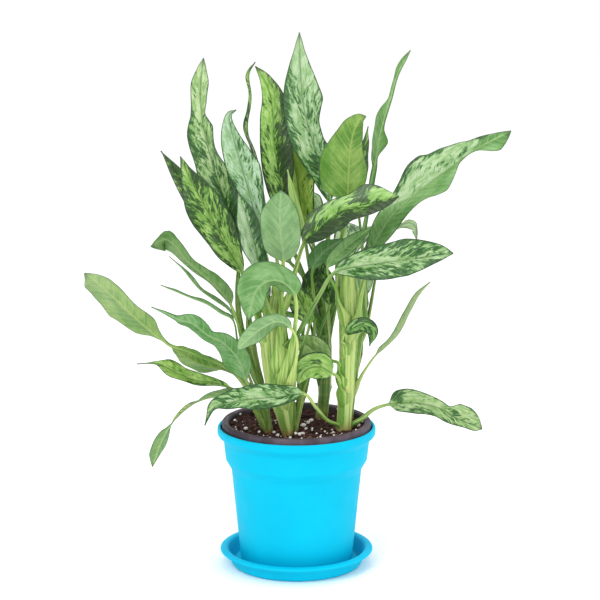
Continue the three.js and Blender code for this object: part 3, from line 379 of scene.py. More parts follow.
def stalk_foot(shoot, leaf):
    centre = on_line(shoot["cane"], leaf["joint"])[0]
    way = np.array(leaf["stalk"][0], float) - centre
    lean = math.hypot(way[0], way[1]) / np.linalg.norm(way)
    if leaf["joint"] == 1:
        return centre + [0, 0, GAP + stalk_radius(leaf) * lean], centre
    flat = cane_radius_at(shoot, leaf["joint"]) * math.cos(math.pi / CANE_SIDES)
    stand_off = flat + 0.9 * stalk_radius(leaf) * math.sqrt(1 - lean * lean) + STALK_SEAT
    way[2] = 0
    return centre + unit(way) * stand_off, centre


# Shaping


def only(piece):
    """Makes piece the one selected and active object."""
    bpy.ops.object.select_all(action="DESELECT")
    piece.select_set(True)
    bpy.context.view_layer.objects.active = piece


def named(name):
    """The object that was just added, under its own name."""
    piece = bpy.context.active_object
    piece.name = name
    piece.data.name = name
    return piece


def points_of(mesh):
    """The places of a mesh's points, one row each."""
    points = np.zeros(len(mesh.vertices) * 3)
    mesh.vertices.foreach_get("co", points)
    return points.reshape(-1, 3)


def close_mesh():
    """Fills the open ends of the mesh in edit mode, turns its faces outward and leaves edit mode."""
    bpy.ops.mesh.select_all(action="SELECT")
    bpy.ops.mesh.fill_holes(sides=0)
    bpy.ops.mesh.select_all(action="SELECT")
    bpy.ops.mesh.normals_make_consistent(inside=False)
    bpy.ops.object.mode_set(mode="OBJECT")


def rolled(name, rings, tags):
    """A grid rolled round into a tube through rings of points, its two edges joined and its ends closed.
    tags are named values at those points."""
    rows, columns = rings.shape[0], rings.shape[1]
    bpy.ops.object.select_all(action="DESELECT")
    bpy.ops.mesh.primitive_grid_add(x_subdivisions=columns, y_subdivisions=rows - 1, size=1)
    piece = named(name)
    mesh = piece.data
    flat = points_of(mesh)
    column = np.rint((flat[:, 0] + 0.5) * columns).astype(int) % columns
    row = np.rint((flat[:, 1] + 0.5) * (rows - 1)).astype(int)
    mesh.vertices.foreach_set("co", (rings[row, column] * MM).ravel())
    for tag, values in tags.items():
        kind = "FLOAT_VECTOR" if values.ndim == 3 else "FLOAT"
        layer = mesh.attributes.new(tag, kind, "POINT")
        layer.data.foreach_set("vector" if values.ndim == 3 else "value", values[row, column].ravel())
    bpy.ops.object.mode_set(mode="EDIT")
    bpy.ops.mesh.select_all(action="SELECT")
    bpy.ops.mesh.remove_doubles(threshold=0.001 * MM)
    close_mesh()
    bpy.ops.object.shade_smooth()
    return piece


def paint(piece, *materials):
    piece.data.materials.clear()
    for material in materials:
        piece.data.materials.append(material)


def dress_node(piece, node, slot, *materials):
    """Paints a piece and says what it rides on and which node it replaces; slot, what it is made of, is not
    used.
    """
    paint(piece, *materials)
    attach(piece, "root")
    if node:
        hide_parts(node)


# Leaves

HALF_COLUMNS = np.array([0, 0.03, 0.075, 0.14, 0.22, 0.31, 0.41, 0.52, 0.63, 0.74, 0.84, 0.92, 0.975])
UPPER_ACROSS = np.concatenate([-HALF_COLUMNS[:0:-1], HALF_COLUMNS])
LINE_STEPS = 24  # from each point of a leaf's middle line to the next
STALK_ROW_STEP = 5
BLADE_ROW_STEP = 2.4
CROWDING = 0.045  # how much closer a blade's rings stand at its ends
GLANCE = 1.5  # how far ahead and behind a ring the line's direction is taken
TAIL_LENGTH = 22  # how far down its cane a stalk's sheath can be followed
TAIL_ROWS = 6
TAIL_SINK = 0.9  # how far a sheath's end sinks, of the way to its cane's middle
TAIL_TAPER = 0.45
SHEATH_WIDTH = 0.75  # how far a sheath's wings reach round, of the cane's radius
TIP_HALF_WIDTH = 0.75
HALF_THICKNESS = 0.3
GROOVE_DEPTH = 0.5  # of the line over the rib
GROOVE_WIDTH = 1.1
VEIN_STEP = 8.5
VEIN_HEIGHT = 0.22
VEIN_SLANT = 0.95  # how far side veins run toward the tip for each millimetre out


def leaf_rows(shoot, leaf):
    """Where a leaf's rings stand: their middles and frames, and how far along stalk and blade they are."""
    foot, centre = stalk_foot(shoot, leaf)
    points = [foot] + [np.array(point, float) for point in leaf["stalk"] + leaf["blade"]]
    dense = on_line(points, np.linspace(0, 1, LINE_STEPS * (len(points) - 1) + 1))
    lengths = np.concatenate([[0], np.cumsum(np.linalg.norm(np.diff(dense, axis=0), axis=1))])
    base, whole = lengths[LINE_STEPS * (len(leaf["stalk"]) + 1)], lengths[-1]
    stalk_rows = max(8, int(base / STALK_ROW_STEP))
    blade_rows = max(30, int((whole - base) / BLADE_ROW_STEP))
    even = np.linspace(0, 1, blade_rows)
    blade_shares = even - CROWDING * np.sin(2 * np.pi * even)
    at = np.concatenate([base * np.arange(stalk_rows) / stalk_rows, base + blade_shares * (whole - base)])
    on_stalk = np.clip(at / base, 0, 1)
    on_blade = np.clip((at - base) / (whole - base), 0, 1)
    middle = between(dense, lengths, at)
    ahead = between(dense, lengths, np.clip(at + GLANCE, 0, whole))
    behind = between(dense, lengths, np.clip(at - GLANCE, 0, whole))
    along = unit(ahead - behind)
    face = faces_at(leaf, on_blade)
    up = unit(face - np.sum(face * along, 1, keepdims=True) * along)
    across = np.cross(along, up)
    inward = centre - foot
    if leaf["joint"] < 1:  # the foot's inner side turns to the cane
        turn = math.atan2(np.dot(inward, across[0]), np.dot(inward, up[0]))
        angle = (turn * (1 - smoothstep(on_stalk, 0, 0.85)))[:, None]
        up, across = (up * np.cos(angle) + across * np.sin(angle),
                      across * np.cos(angle) - up * np.sin(angle))
    return at - base, on_stalk, on_blade, middle, along, up, across, inward


def with_tail(shoot, leaf, rings, inward):
    """Adds rings below the foot, which run down the cane and sink into it."""
    low, high = on_line(shoot["cane"], [max(leaf["joint"] - 0.1, 0), leaf["joint"]])
    down = unit(low - high) if leaf["joint"] > 0.1 else np.array([0, 0, -1.0])
    down = down if leaf["joint"] < 1 else unit(on_line(shoot["cane"], [0.9])[0] - high)
    reach = min(TAIL_LENGTH, max(rings[0, :, 2].min() - SOIL_LEVEL + 4, 2))
    tail = []
    for row in range(TAIL_ROWS, 0, -1):
        share = row / TAIL_ROWS
        middle = rings[0].mean(0)
        sunk = middle + down * reach * share + inward * TAIL_SINK * share**1.5
        tail.append(sunk + (rings[0] - middle) * (1 - TAIL_TAPER * share))
    return np.concatenate([np.array(tail), rings])


def folded_from(share):
    """How far across a folded leaf, from -1 to 1, its plain part begins: all of it at the base, its right
    half along the middle, and nearly all of it again at the tip."""
    return -1.2 * (1 - smoothstep(share, 0.14, 0.42)) - 0.8 * smoothstep(share, 0.74, 0.92)


def mood_at(mood, across, along):
    """A leaf's mood at places across it, from -1 to 1, and along it, from 0 to 1."""
    whole, right, tip = mood if isinstance(mood, tuple) else (mood, 0, 0)
    return whole + right * np.clip(2.5 * across, -1, 1) + tip * (2 * along - 1)


def leaf_rings(shoot, leaf, number):
    """The rings of points that a leaf is rolled from, and the values kept at each point."""
    along_blade, on_stalk, on_blade, middle, along, up, across, inward = leaf_rows(shoot, leaf)
    x = np.concatenate([[-1], UPPER_ACROSS, [1], UPPER_ACROSS[::-1]])[None, :]
    side = np.concatenate([[0], np.ones(len(UPPER_ACROSS)), [0], -np.ones(len(UPPER_ACROSS))])[None, :]
    under = np.concatenate([[0.5], np.zeros(len(UPPER_ACROSS)), [0.5], np.ones(len(UPPER_ACROSS))])
    lengthwise, stalk_share, blade_share = along_blade[:, None], on_stalk[:, None], on_blade[:, None]
    shape = blade_shape(blade_share)
    spread = smoothstep(shape, 0.05, 0.5)

    radius = stalk_radius(leaf)
    neck = NECK_SHARE * radius
    round_part = (radius + (neck - radius) * stalk_share) * (1 - blade_share)
    if leaf["joint"] == 1:  # the youngest stalk goes on from its cane
        cane_top = cane_radius_at(shoot, 1)
        round_part = np.maximum(round_part, cane_top * (1 - smoothstep(stalk_share, 0, 0.7)))
    steep = np.clip(along[0][2] * 1.4 - 0.3, 0, 1) * (leaf["joint"] < 1)
    sheath = np.clip(1 - stalk_share / 0.6, 0, 1)**1.3 * steep
    cane = cane_radius_at(shoot, leaf["joint"])
    wings = 1 + sheath * SHEATH_WIDTH * cane / radius
    stalk_across = 0.93 * round_part * x * wings
    bend = cane + 1.2
    close = np.minimum(np.abs(stalk_across), 0.95 * bend)
    hug = sheath * (bend - np.sqrt(bend**2 - close**2))
    stalk_up = side * round_part * np.sqrt(1 - x**2) * np.where(side > 0, 0.72, 1.0) + hug * 0.95
    stalk_up = stalk_up - (side > 0) * 0.3 * round_part * np.exp(-(x / 0.35)**2) * (1 - sheath)

    right, left = blade_reach(leaf, blade_share, 1), blade_reach(leaf, blade_share, 2)
    half = np.maximum(np.maximum(0.87 * round_part, np.where(x > 0, right, left)), TIP_HALF_WIDTH)
    blade_across = x * half
    offset = np.abs(blade_across)
    swell = WAVE_SHARE * leaf["width"] * spread * shape
    ripple = swell * np.sin(2 * np.pi * WAVES_ON_BLADE * blade_share + number * 1.3 + np.sign(x) * 0.9)
    rise = half * math.sin(LEAF_FOLD) * spread * (np.abs(x) + 0.14 * np.sin(np.pi * np.abs(x)))
    sweep = lengthwise - VEIN_SLANT * offset
    vein = VEIN_HEIGHT * np.sin(2 * np.pi * sweep / VEIN_STEP) * np.sin(np.pi * np.abs(x)) * spread
    vein = vein * np.clip(half / 8, 0, 1)
    rib_width = np.maximum(neck * 0.8 * (1 - blade_share), 0.5)
    rib = np.maximum(neck * (1 - blade_share), 0.3) * np.exp(-(offset / rib_width)**2)
    skin = HALF_THICKNESS * np.sqrt(np.clip(1 - np.abs(x)**6, 0, 1))
    groove = GROOVE_DEPTH * np.exp(-(offset / GROOVE_WIDTH)**2) * spread * np.clip(half / 8, 0, 1)
    blade_up = (rise + ripple * np.abs(x)**1.6 + vein
                + np.where(side > 0, skin - groove, 0) - np.where(side < 0, skin + rib, 0))

    opened = np.where(blade_share > 0.5, 1, spread)  # the tip keeps its own width
    out = stalk_across * (1 - opened) + blade_across * opened
    high = stalk_up * (1 - opened) + blade_up * opened
    rings = middle[:, None] + across[:, None] * out[..., None] + up[:, None] * high[..., None]
    rings = with_tail(shoot, leaf, rings, inward)

    ones = np.ones_like(out)
    seed = (number * 7.31 + len(shoot["name"]) * 3.17 + leaf["width"] * 0.37) % 50
    growth = np.where(blade_share > 0, blade_share, stalk_share - 1)
    plain = {"all": 1.0, "folded": smoothstep(x - folded_from(blade_share), -0.06, 0.06)}
    paleness = shoot["paleness"] if leaf["paleness"] is None else leaf["paleness"]
    tags = {
        "leaf_place": np.stack([out, lengthwise * ones, seed * ones], -1),
        "leaf_form": np.stack([np.abs(x) * ones, opened * ones, growth * ones], -1),
        # leaf_mood holds the dark patches' share, the tone, and painted light and shade with some own
        # paleness
        "leaf_mood": np.stack([mood_at(leaf["dark"], x, blade_share) * ones, leaf["tone"] * ones,
                               mood_at(leaf["light"], x, blade_share) * ones], -1),
        "leaf_edge": (half - offset) * ones,
        "stalk_paleness": paleness * ones,
        "plain_part": plain.get(leaf["plain"], 0.0) * ones,
        "underside": under[None, :] * ones,
    }
    for tag, values in tags.items():  # the tail has the foot's values
        tags[tag] = np.concatenate([np.repeat(values[:1], TAIL_ROWS, 0), values])
    return rings, tags


def leaf_piece(shoot, leaf, number, finishes):
    name = f"leaf_{shoot['name']}_{number + 1}"
    piece = rolled(f"{name}_dressed", *leaf_rings(shoot, leaf, number))
    upper = "silver" if leaf["look"] == "plain" else leaf["look"]
    dress_node(piece, name, "leaf", finishes[upper], finishes["underside"])
    under = np.zeros(len(piece.data.vertices))
    piece.data.attributes["underside"].data.foreach_get("value", under)
    for polygon in piece.data.polygons:
        if np.mean(under[list(polygon.vertices)]) > 0.5:
            polygon.material_index = 1


# Canes

CANE_COLUMNS = 96
SCAR_BULGE = 0.12
JOINT_BULGE = 0.2
SHEATH_TURN = 0.9  # how many sheaths' widths they wind round the cane on the way to its top
SHEATH_LAP = 0.26  # how deep one sheath lies under the next, of the cane's radius


def cane_piece(shoot, finishes):
    """A cane wrapped in the sheaths of its leaves, which fold over each other round it."""
    x, y = shoot["cane"][0][:2]
    foot_level = SOIL_LEVEL - SOIL_DEPTH_AT_CANES
    levels = np.concatenate([np.linspace(0, 0.94, 70), np.linspace(0.95, 1, 12)])
    line = on_line(shoot["cane"], levels)
    joints = np.array(sorted(leaf["joint"] for leaf in shoot["leaves"] if leaf["joint"] < 1))
    radius = cane_radius_at(shoot, levels)
    scars = np.exp(-((levels[:, None] - joints + 0.03) / 0.008)**2).sum(1)
    swelling = np.exp(-((levels[:, None] - joints + 0.04) / 0.03)**2).sum(1)
    radius = radius + SCAR_BULGE * scars + JOINT_BULGE * swelling
    radius = radius * (1 - 0.3 * smoothstep(levels, 0.84, 0.99))
    radius = radius * np.sqrt(np.clip(1 - np.clip((levels - 0.95) / 0.05, 0, 1)**2 * 0.9, 0, 1))
    plumb = np.array([[x, y, foot_level], [x, y, SOIL_LEVEL - 8], [x, y, SOIL_LEVEL - 2]])
    centres = np.vstack([plumb, line])
    radii = np.concatenate([np.full(3, shoot["cane_radius"][0]), radius])[:, None]
    heights = np.concatenate([[-0.2, -0.05, -0.02], levels])[:, None]
    angle = np.linspace(0, 2 * np.pi, CANE_COLUMNS, endpoint=False)[None, :]
    sheaths = 4 + int(max(shoot["cane_radius"]) / 2.5)
    turn = sheaths * angle / (2 * np.pi) + SHEATH_TURN * heights + x * 0.1
    fold = turn % 1
    lap = smoothstep(fold, 0, 0.18) * (1 - fold)
    depth = SHEATH_LAP * smoothstep(heights, 0.02, 0.3)
    radii = radii * (1 - depth * (0.5 - lap))
    sheath_tone = (np.floor(turn) % sheaths * 0.382 + x * 0.07) % 1
    rings = np.stack([
        centres[:, 0, None] + radii * np.cos(angle),
        centres[:, 1, None] + radii * np.sin(angle),
        centres[:, 2, None] * np.ones_like(angle)], -1)
    ones = np.ones_like(radii)
    scar = np.concatenate([np.zeros(3), np.clip(0.4 * scars, 0, 1)])[:, None]
    if "pale_joint" in shoot:
        scar = scar + np.exp(-((heights - shoot["pale_joint"]) / 0.03)**2)
    tags = {
        "cane_place": np.stack([heights * ones, scar * ones, fold * ones], -1),
        "cane_round": np.stack([np.cos(angle) * ones, np.sin(angle) * ones, sheath_tone * ones], -1),
        "stalk_paleness": shoot["paleness"] * ones,
    }
    piece = rolled(f"cane_{shoot['name']}_dressed", rings, tags)
    dress_node(piece, f"cane_{shoot['name']}", "cane", finishes["cane"])


def make_shoot(shoot, finishes):
    cane_piece(shoot, finishes)
    for number, leaf in enumerate(shoot["leaves"]):
        leaf_piece(shoot, leaf, number, finishes)


# Finishes

LIGHT_ON_PLANT = 1.5  # how much the studio's light lifts a leaf's own colour
SHEEN_ON_PLANT = 0.035  # and how much its gloss adds
VEIN_WAVES = 0.74  # radians of the side veins' wave for each millimetre toward the tip
STREAK_SLANT = 0.34  # how far streaks run out for each millimetre toward the tip
PATTERN_LEVEL = 0.71  # of the streaks, above which a blade is dark


def linear(red, green, blue):
    """A colour given on a 0-255 scale, as the shader wants it."""
    scaled = [value / 255 for value in (red, green, blue)]
    return tuple(v / 12.92 if v <= 0.04045 else ((v + 0.055) / 1.055)**2.4 for v in scaled) + (1,)


def green(red, green, blue):
    """A plant colour as it looks in the studio's light."""
    seen = linear(red, green, blue)[:3]
    return tuple(max(value - SHEEN_ON_PLANT, 0.004) / LIGHT_ON_PLANT for value in seen) + (1,)


class Finish:
    """A material with one glossy shader, and short words for the nodes that feed it."""

    def __init__(self, name, roughness, gloss=0.5):
        self.material = bpy.data.materials.new(name)
        self.material.use_nodes = True
        self.tree = self.material.node_tree
        self.shader = self.tree.nodes["Principled BSDF"]
        self.shader.inputs["Roughness"].default_value = roughness
        self.shader.inputs["Specular IOR Level"].default_value = gloss

    def feed(self, socket, value):
        if isinstance(value, bpy.types.NodeSocket):
            self.tree.links.new(value, socket)
        else:
            socket.default_value = value

    def kept(self, name):
        """A number kept on the mesh."""
        node = self.tree.nodes.new("ShaderNodeAttribute")
        node.attribute_name = name
        return node.outputs["Fac"]

    def parts(self, name):
        """Three numbers kept on the mesh under one name."""
        node = self.tree.nodes.new("ShaderNodeAttribute")
        node.attribute_name = name
        split = self.tree.nodes.new("ShaderNodeSeparateXYZ")
        self.feed(split.inputs[0], node.outputs["Vector"])
        return tuple(split.outputs)

    def place(self):
        return self.tree.nodes.new("ShaderNodeTexCoord").outputs["Object"]

    def maths(self, operation, first, second=0.0, third=0.0):
        node = self.tree.nodes.new("ShaderNodeMath")
        node.operation = operation
        for socket, value in zip(node.inputs, (first, second, third)):
            self.feed(socket, value)
        return node.outputs[0]

    def times(self, value, factor):
        return self.maths("MULTIPLY", value, factor)

    def plus(self, *values):
        total = values[0]
        for value in values[1:]:
            total = self.maths("ADD", total, value)
        return total

    def point(self, x, y, z):
        node = self.tree.nodes.new("ShaderNodeCombineXYZ")
        for socket, value in zip(node.inputs, (x, y, z)):
            self.feed(socket, value)
        return node.outputs[0]

    def noise(self, where, scale, detail, roughness=0.55):
        node = self.tree.nodes.new("ShaderNodeTexNoise")
        self.feed(node.inputs["Vector"], where)
        node.inputs["Scale"].default_value = scale
        node.inputs["Detail"].default_value = detail
        node.inputs["Roughness"].default_value = roughness
        return node.outputs["Fac"]

    def stretched(self, x, y, z, detail, roughness=0.55):
        """Noise at x, y and z, each of them a value, or a value and its scale."""
        parts = [self.times(*part) if isinstance(part, tuple) else part for part in (x, y, z)]
        return self.noise(self.point(*parts), 1.0, detail, roughness)

    def cells(self, where, scale):
        node = self.tree.nodes.new("ShaderNodeTexVoronoi")
        self.feed(node.inputs["Vector"], where)
        node.inputs["Scale"].default_value = scale
        return node.outputs["Distance"]

    def between(self, value, low, high, start=0.0, end=1.0):
        node = self.tree.nodes.new("ShaderNodeMapRange")
        node.interpolation_type = "SMOOTHSTEP"
        for socket, number in zip(node.inputs, (value, low, high, start, end)):
            self.feed(socket, number)
        return node.outputs[0]

    def mix(self, share, first, second, blend="MIX"):
        node = self.tree.nodes.new("ShaderNodeMix")
        node.data_type = "RGBA"
        node.blend_type = blend
        self.feed(node.inputs[0], share)
        self.feed(node.inputs[6], first)
        self.feed(node.inputs[7], second)
        return node.outputs[2]

    def over(self, first, second, value, low, high, start=0.0, end=1.0):
        """The first colour, with the second over it as value goes from low to high."""
        return self.mix(self.between(value, low, high, start, end), first, second)

    def bump(self, height, strength, distance):
        node = self.tree.nodes.new("ShaderNodeBump")
        node.inputs["Strength"].default_value = strength
        node.inputs["Distance"].default_value = distance
        self.feed(node.inputs["Height"], height)
        self.feed(self.shader.inputs["Normal"], node.outputs[0])

    def colour(self, value):
        self.feed(self.shader.inputs["Base Color"], value)

    def rough(self, value):
        self.feed(self.shader.inputs["Roughness"], value)


def stalk_greens(finish, paleness):
    """The two greens that streak a stalk or a cane, from dark to pale lime."""
    shade = finish.mix(paleness, green(72, 116, 56), green(140, 192, 92))
    light = finish.mix(paleness, green(122, 168, 92), green(222, 244, 150))
    return shade, light


def stalk_colour(finish):
    """Green with lighter streaks along the stalk, and painted shade along its edges where it turns away."""
    across, along, seed = finish.parts("leaf_place")
    shade, light = stalk_greens(finish, finish.kept("stalk_paleness"))
    streak = finish.stretched((across, 0.5), (along, 0.02), seed, 2.0)
    body = finish.over(shade, light, streak, 0.4, 0.62)
    share, _, _ = finish.parts("leaf_form")
    # painted shade: the dark green over the stalk's edges
    return finish.over(body, shade, share, 0.75, 1.0, 0.0, 0.45)


def toned(finish, colour):
    """Turned to blue-green or yellow-green, and darkened with painted shade or lightened with painted light
    toward white, as the leaf's own mood says; its light also holds some of the leaf's own paleness.
    """
    _, tone, light = finish.parts("leaf_mood")
    yellower = finish.mix(1.0, colour, (1.22, 1.0, 0.42, 1), "MULTIPLY")
    bluer = finish.mix(1.0, colour, (0.92, 0.98, 1.3, 1), "MULTIPLY")
    body = finish.over(colour, yellower, tone, 0.0, 1.0, 0.0, 0.8)
    body = finish.over(body, bluer, tone, -1.0, 0.0, 1.0, 0.0)
    # painted shade where the leaf's light is below nought, painted light toward white above it
    body = finish.over(body, green(24, 56, 24), light, -1.0, 0.0, 1.0, 0.0)
    return finish.over(body, green(238, 250, 236), light, 0.0, 1.0, 0.0, 1.0)


def margin(finish, blade, colour):
    """A thin dark line round the blade, and a darker tip."""
    line = finish.between(finish.kept("leaf_edge"), 0.3, 1.3, 0.7, 0.0)
    tip = finish.between(finish.parts("leaf_form")[2], 0.94, 1.0, 0.0, 0.7)
    return finish.mix(finish.maths("MAXIMUM", line, tip), blade, colour)


def plain_blade(finish):
    """Plain green with a pale rib, side veins and a fine net between them, and the net's relief."""
    across, along, seed = finish.parts("leaf_place")
    share, _, _ = finish.parts("leaf_form")
    off_rib = finish.maths("ABSOLUTE", across)
    sweep = finish.maths("SUBTRACT", along, finish.times(off_rib, VEIN_SLANT))
    cloud = finish.stretched((across, 0.07), (along, 0.035), seed, 3.0)
    blade = finish.over(green(108, 164, 86), green(156, 202, 130), cloud, 0.34, 0.66)
    streak = finish.stretched((sweep, 0.3), (off_rib, 0.06), seed, 3.0)
    blade = finish.over(blade, green(92, 148, 78), streak, 0.46, 0.68, 0.0, 0.6)
    wave = finish.maths("SINE", finish.times(sweep, VEIN_WAVES))
    veins = finish.times(finish.between(wave, 0.6, 1.0), finish.between(share, 0.1, 1.0, 0.42, 0.1))
    blade = finish.mix(veins, blade, green(178, 216, 146))
    net = finish.cells(finish.point(across, finish.times(sweep, 0.6), seed), 0.5)
    blade = finish.over(blade, green(88, 144, 72), net, 0.35, 0.7, 0.0, 0.22)
    blade = finish.over(blade, green(172, 210, 140), off_rib, 0.4, 1.6, 0.7, 0.0)
    return blade, finish.plus(finish.times(wave, 0.5), finish.times(net, 0.7))


def variegated(name, pale, milky_and_sheen, middling, deep, cover):
    """An upper side: streaks and patches of dark green that follow the side veins over a pale blade.
    cover is how much of the blade they take."""
    finish = Finish(name, 0.4, 0.4)
    across, along, seed = finish.parts("leaf_place")
    share, opened, _ = finish.parts("leaf_form")
    off_rib = finish.maths("ABSOLUTE", across)
    seed = finish.plus(seed, finish.times(finish.maths("SIGN", across), 3.7))
    skew = finish.maths("SUBTRACT", off_rib, finish.times(along, STREAK_SLANT))
    wander = finish.stretched((across, 0.06), (along, 0.05), seed, 2.0)
    skew = finish.plus(skew, finish.times(wander, 9.0))
    streaks = finish.stretched((skew, 0.34), (along, 0.075), seed, 4.0, 0.66)
    flecks = finish.stretched((skew, 0.8), (along, 0.2), seed, 3.0, 0.6)
    patches = finish.stretched((across, 0.07), (along, 0.03), seed, 2.0)
    border = finish.plus(finish.between(share, 0.6, 0.95, 0.0, 0.06),
                         finish.between(share, 0.88, 1.0, 0.0, 0.2))
    rib_zone = finish.between(off_rib, 0.0, 4.0, -0.05, 0.0)
    amount = finish.plus(finish.times(streaks, 0.6), finish.times(patches, 0.5), finish.times(flecks, 0.32),
                         border, rib_zone, finish.parts("leaf_mood")[0], cover - PATTERN_LEVEL)
    soft = finish.between(amount, -0.03, 0.03)
    hard = finish.between(amount, 0.015, 0.055)
    grain = finish.stretched((across, 0.3), (along, 0.09), seed, 4.0, 0.6)
    fine = finish.stretched((skew, 1.6), (along, 0.3), seed, 2.0)
    # pale blade with milky patches: partly the leaf's own silver, partly painted sheen
    light_part = finish.over(pale, milky_and_sheen, grain, 0.36, 0.66)
    dark_part = finish.mix(hard, middling, deep)
    dark_part = finish.over(dark_part, middling, fine, 0.5, 0.7, 0.0, 0.4)
    black = finish.times(finish.between(amount, 0.06, 0.12), finish.between(fine, 0.42, 0.5, 1.0, 0.0))
    dark_part = finish.mix(finish.times(black, 0.6), dark_part, green(26, 56, 34))
    blade = finish.mix(finish.times(soft, 0.95), light_part, dark_part)
    blade = finish.over(blade, middling, fine, 0.52, 0.7, 0.0, 0.28)
    sweep = finish.maths("SUBTRACT", along, finish.times(off_rib, VEIN_SLANT))
    wave = finish.maths("SINE", finish.times(sweep, VEIN_WAVES))
    blade = finish.over(blade, milky_and_sheen, wave, 0.84, 1.0, 0.0, 0.12)
    blade = finish.over(blade, deep, off_rib, 0.3, 0.9, 0.5, 0.0)
    plain, _ = plain_blade(finish)
    blade = finish.mix(finish.kept("plain_part"), blade, plain)
    blade = toned(finish, blade)
    blade = margin(finish, blade, green(50, 82, 56))
    finish.colour(finish.mix(opened, stalk_colour(finish), blade))
    finish.rough(finish.between(grain, 0.3, 0.7, 0.34, 0.48))
    relief = finish.plus(finish.times(wave, 0.4), finish.times(fine, 0.5))
    finish.bump(relief, 0.5, 0.0008)
    return finish.material


def underside():
    """A plain green underside."""
    finish = Finish("leaf_underside", 0.5, 0.3)
    blade, relief = plain_blade(finish)
    blade = margin(finish, toned(finish, blade), green(78, 104, 80))
    finish.colour(finish.mix(finish.parts("leaf_form")[1], stalk_colour(finish), blade))
    finish.bump(relief, 0.35, 0.0006)
    return finish.material


def cane_finish():
    """Green cane, streaked along its sheaths, with painted shade in the creases where one sheath goes under
    the next, a painted highlight along each sheath's crest, a pale joint, and browner where it leaves
    the soil.
    """
    finish = Finish("cane_green", 0.45, 0.4)
    height, scar, fold = finish.parts("cane_place")
    round_x, round_y, tone = finish.parts("cane_round")
    shade, light = stalk_greens(finish, finish.kept("stalk_paleness"))
    streak = finish.stretched((round_x, 2.6), (round_y, 2.6), (height, 1.8), 4.0, 0.6)
    amount = finish.plus(streak, finish.between(tone, 0.0, 1.0, -0.1, 0.12))
    body = finish.over(shade, light, amount, 0.38, 0.62)
    # painted shade in the crease where one sheath goes under the next
    crease_shade = finish.between(fold, 0.8, 1.0, 0.0, 0.6)
    body = finish.mix(crease_shade, body, green(74, 118, 46))
    # painted highlight along the crest of each sheath
    crest_highlight = finish.times(finish.between(fold, 0.08, 0.2), finish.between(fold, 0.26, 0.42, 1.0, 0.0))
    crest_highlight = finish.times(crest_highlight, finish.between(tone, 0.2, 0.8, 0.2, 0.7))
    body = finish.mix(crest_highlight, body, green(216, 244, 156))
    blotch = finish.noise(finish.place(), 70.0, 3.0)
    body = finish.over(body, green(204, 230, 122), blotch, 0.52, 0.7, 0.0, 0.35)
    body = finish.mix(finish.times(scar, 0.6), body, green(222, 234, 144))
    body = finish.over(body, green(176, 134, 92), height, 0.0, 0.07, 0.7, 0.0)
    finish.colour(body)
    finish.bump(streak, 0.35, 0.0006)
    return finish.material


def spear_finish():
    """The rolled new leaf: pale lime, with fine lines along it."""
    finish = Finish("spear_lime", 0.4, 0.45)
    across, along, _ = finish.parts("leaf_place")
    line = finish.stretched((across, 1.4), (along, 0.03), 1.0, 2.0)
    colour = finish.over(green(150, 200, 92), green(206, 232, 150), line, 0.35, 0.65)
    finish.colour(finish.mix(finish.parts("leaf_form")[1], stalk_colour(finish), colour))
    finish.bump(line, 0.3, 0.0005)
    return finish.material


def pot_finish():
    """Cyan moulded plastic: satin, with a faint unevenness and finer scuffs."""
    finish = Finish("pot_cyan", 0.55, 0.08)
    place = finish.place()
    cloud = finish.noise(place, 9.0, 3.0)
    colour = finish.over(linear(0, 180, 214), linear(0, 188, 222), cloud, 0.35, 0.65)
    dust = finish.noise(place, 220.0, 4.0)
    colour = finish.over(colour, linear(60, 196, 226), dust, 0.6, 0.8, 0.0, 0.1)
    finish.colour(colour)
    scuff = finish.noise(place, 60.0, 5.0, 0.7)
    finish.rough(finish.between(scuff, 0.3, 0.7, 0.48, 0.64))
    finish.bump(finish.noise(place, 900.0, 2.0), 0.04, 0.0003)
    return finish.material


def grow_pot_finish():
    """Dull nursery pot plastic, dark with a purple cast, dusty with dried soil on top."""
    finish = Finish("grow_pot_dark", 0.55, 0.3)
    place = finish.place()
    cloud = finish.noise(place, 30.0, 4.0)
    colour = finish.over(linear(50, 40, 50), linear(88, 76, 88), cloud, 0.35, 0.65)
    dust = finish.noise(place, 260.0, 5.0, 0.7)
    colour = finish.over(colour, linear(120, 104, 112), dust, 0.56, 0.72, 0.0, 0.5)
    finish.colour(colour)
    finish.rough(finish.between(dust, 0.3, 0.7, 0.45, 0.75))
    finish.bump(dust, 0.25, 0.0006)
    return finish.material


def earth_finish(name, low, high, scale):
    finish = Finish(name, 0.9, 0.15)
    place = finish.place()
    cloud = finish.noise(place, scale, 6.0, 0.7)
    finish.colour(finish.over(low, high, cloud, 0.32, 0.66))
    finish.bump(finish.noise(place, scale * 4, 5.0, 0.7), 0.8, 0.0012)
    return finish.material


# Pots

POT_SIDES = 160


def turned(name, profile, bevel):
    """Spun from a ring that is drawn out and scaled along the profile of (radius, height)."""
    bpy.ops.object.select_all(action="DESELECT")
    radius, height = profile[1]
    bpy.ops.mesh.primitive_circle_add(vertices=POT_SIDES, radius=radius * MM, location=(0, 0, height * MM))
    piece = named(name)
    bpy.ops.object.transform_apply(location=True, rotation=False, scale=False)
    bpy.ops.object.mode_set(mode="EDIT")
    bpy.ops.mesh.select_all(action="SELECT")
    for next_radius, next_height in profile[2:-1]:
        bpy.ops.mesh.extrude_edges_move(
            TRANSFORM_OT_translate={"value": (0, 0, (next_height - height) * MM)})
        scale = next_radius / radius
        bpy.ops.transform.resize(value=(scale, scale, 1))
        radius, height = next_radius, next_height
    close_mesh()
    rounding = piece.modifiers.new("rounding", "BEVEL")
    rounding.width = bevel * MM
    rounding.segments = 3
    rounding.limit_method = "ANGLE"
    rounding.angle_limit = math.radians(14)
    rounding.harden_normals = False
    only(piece)
    bpy.ops.object.modifier_apply(modifier=rounding.name)
    bpy.ops.object.shade_smooth_by_angle(angle=math.radians(40))
    return piece


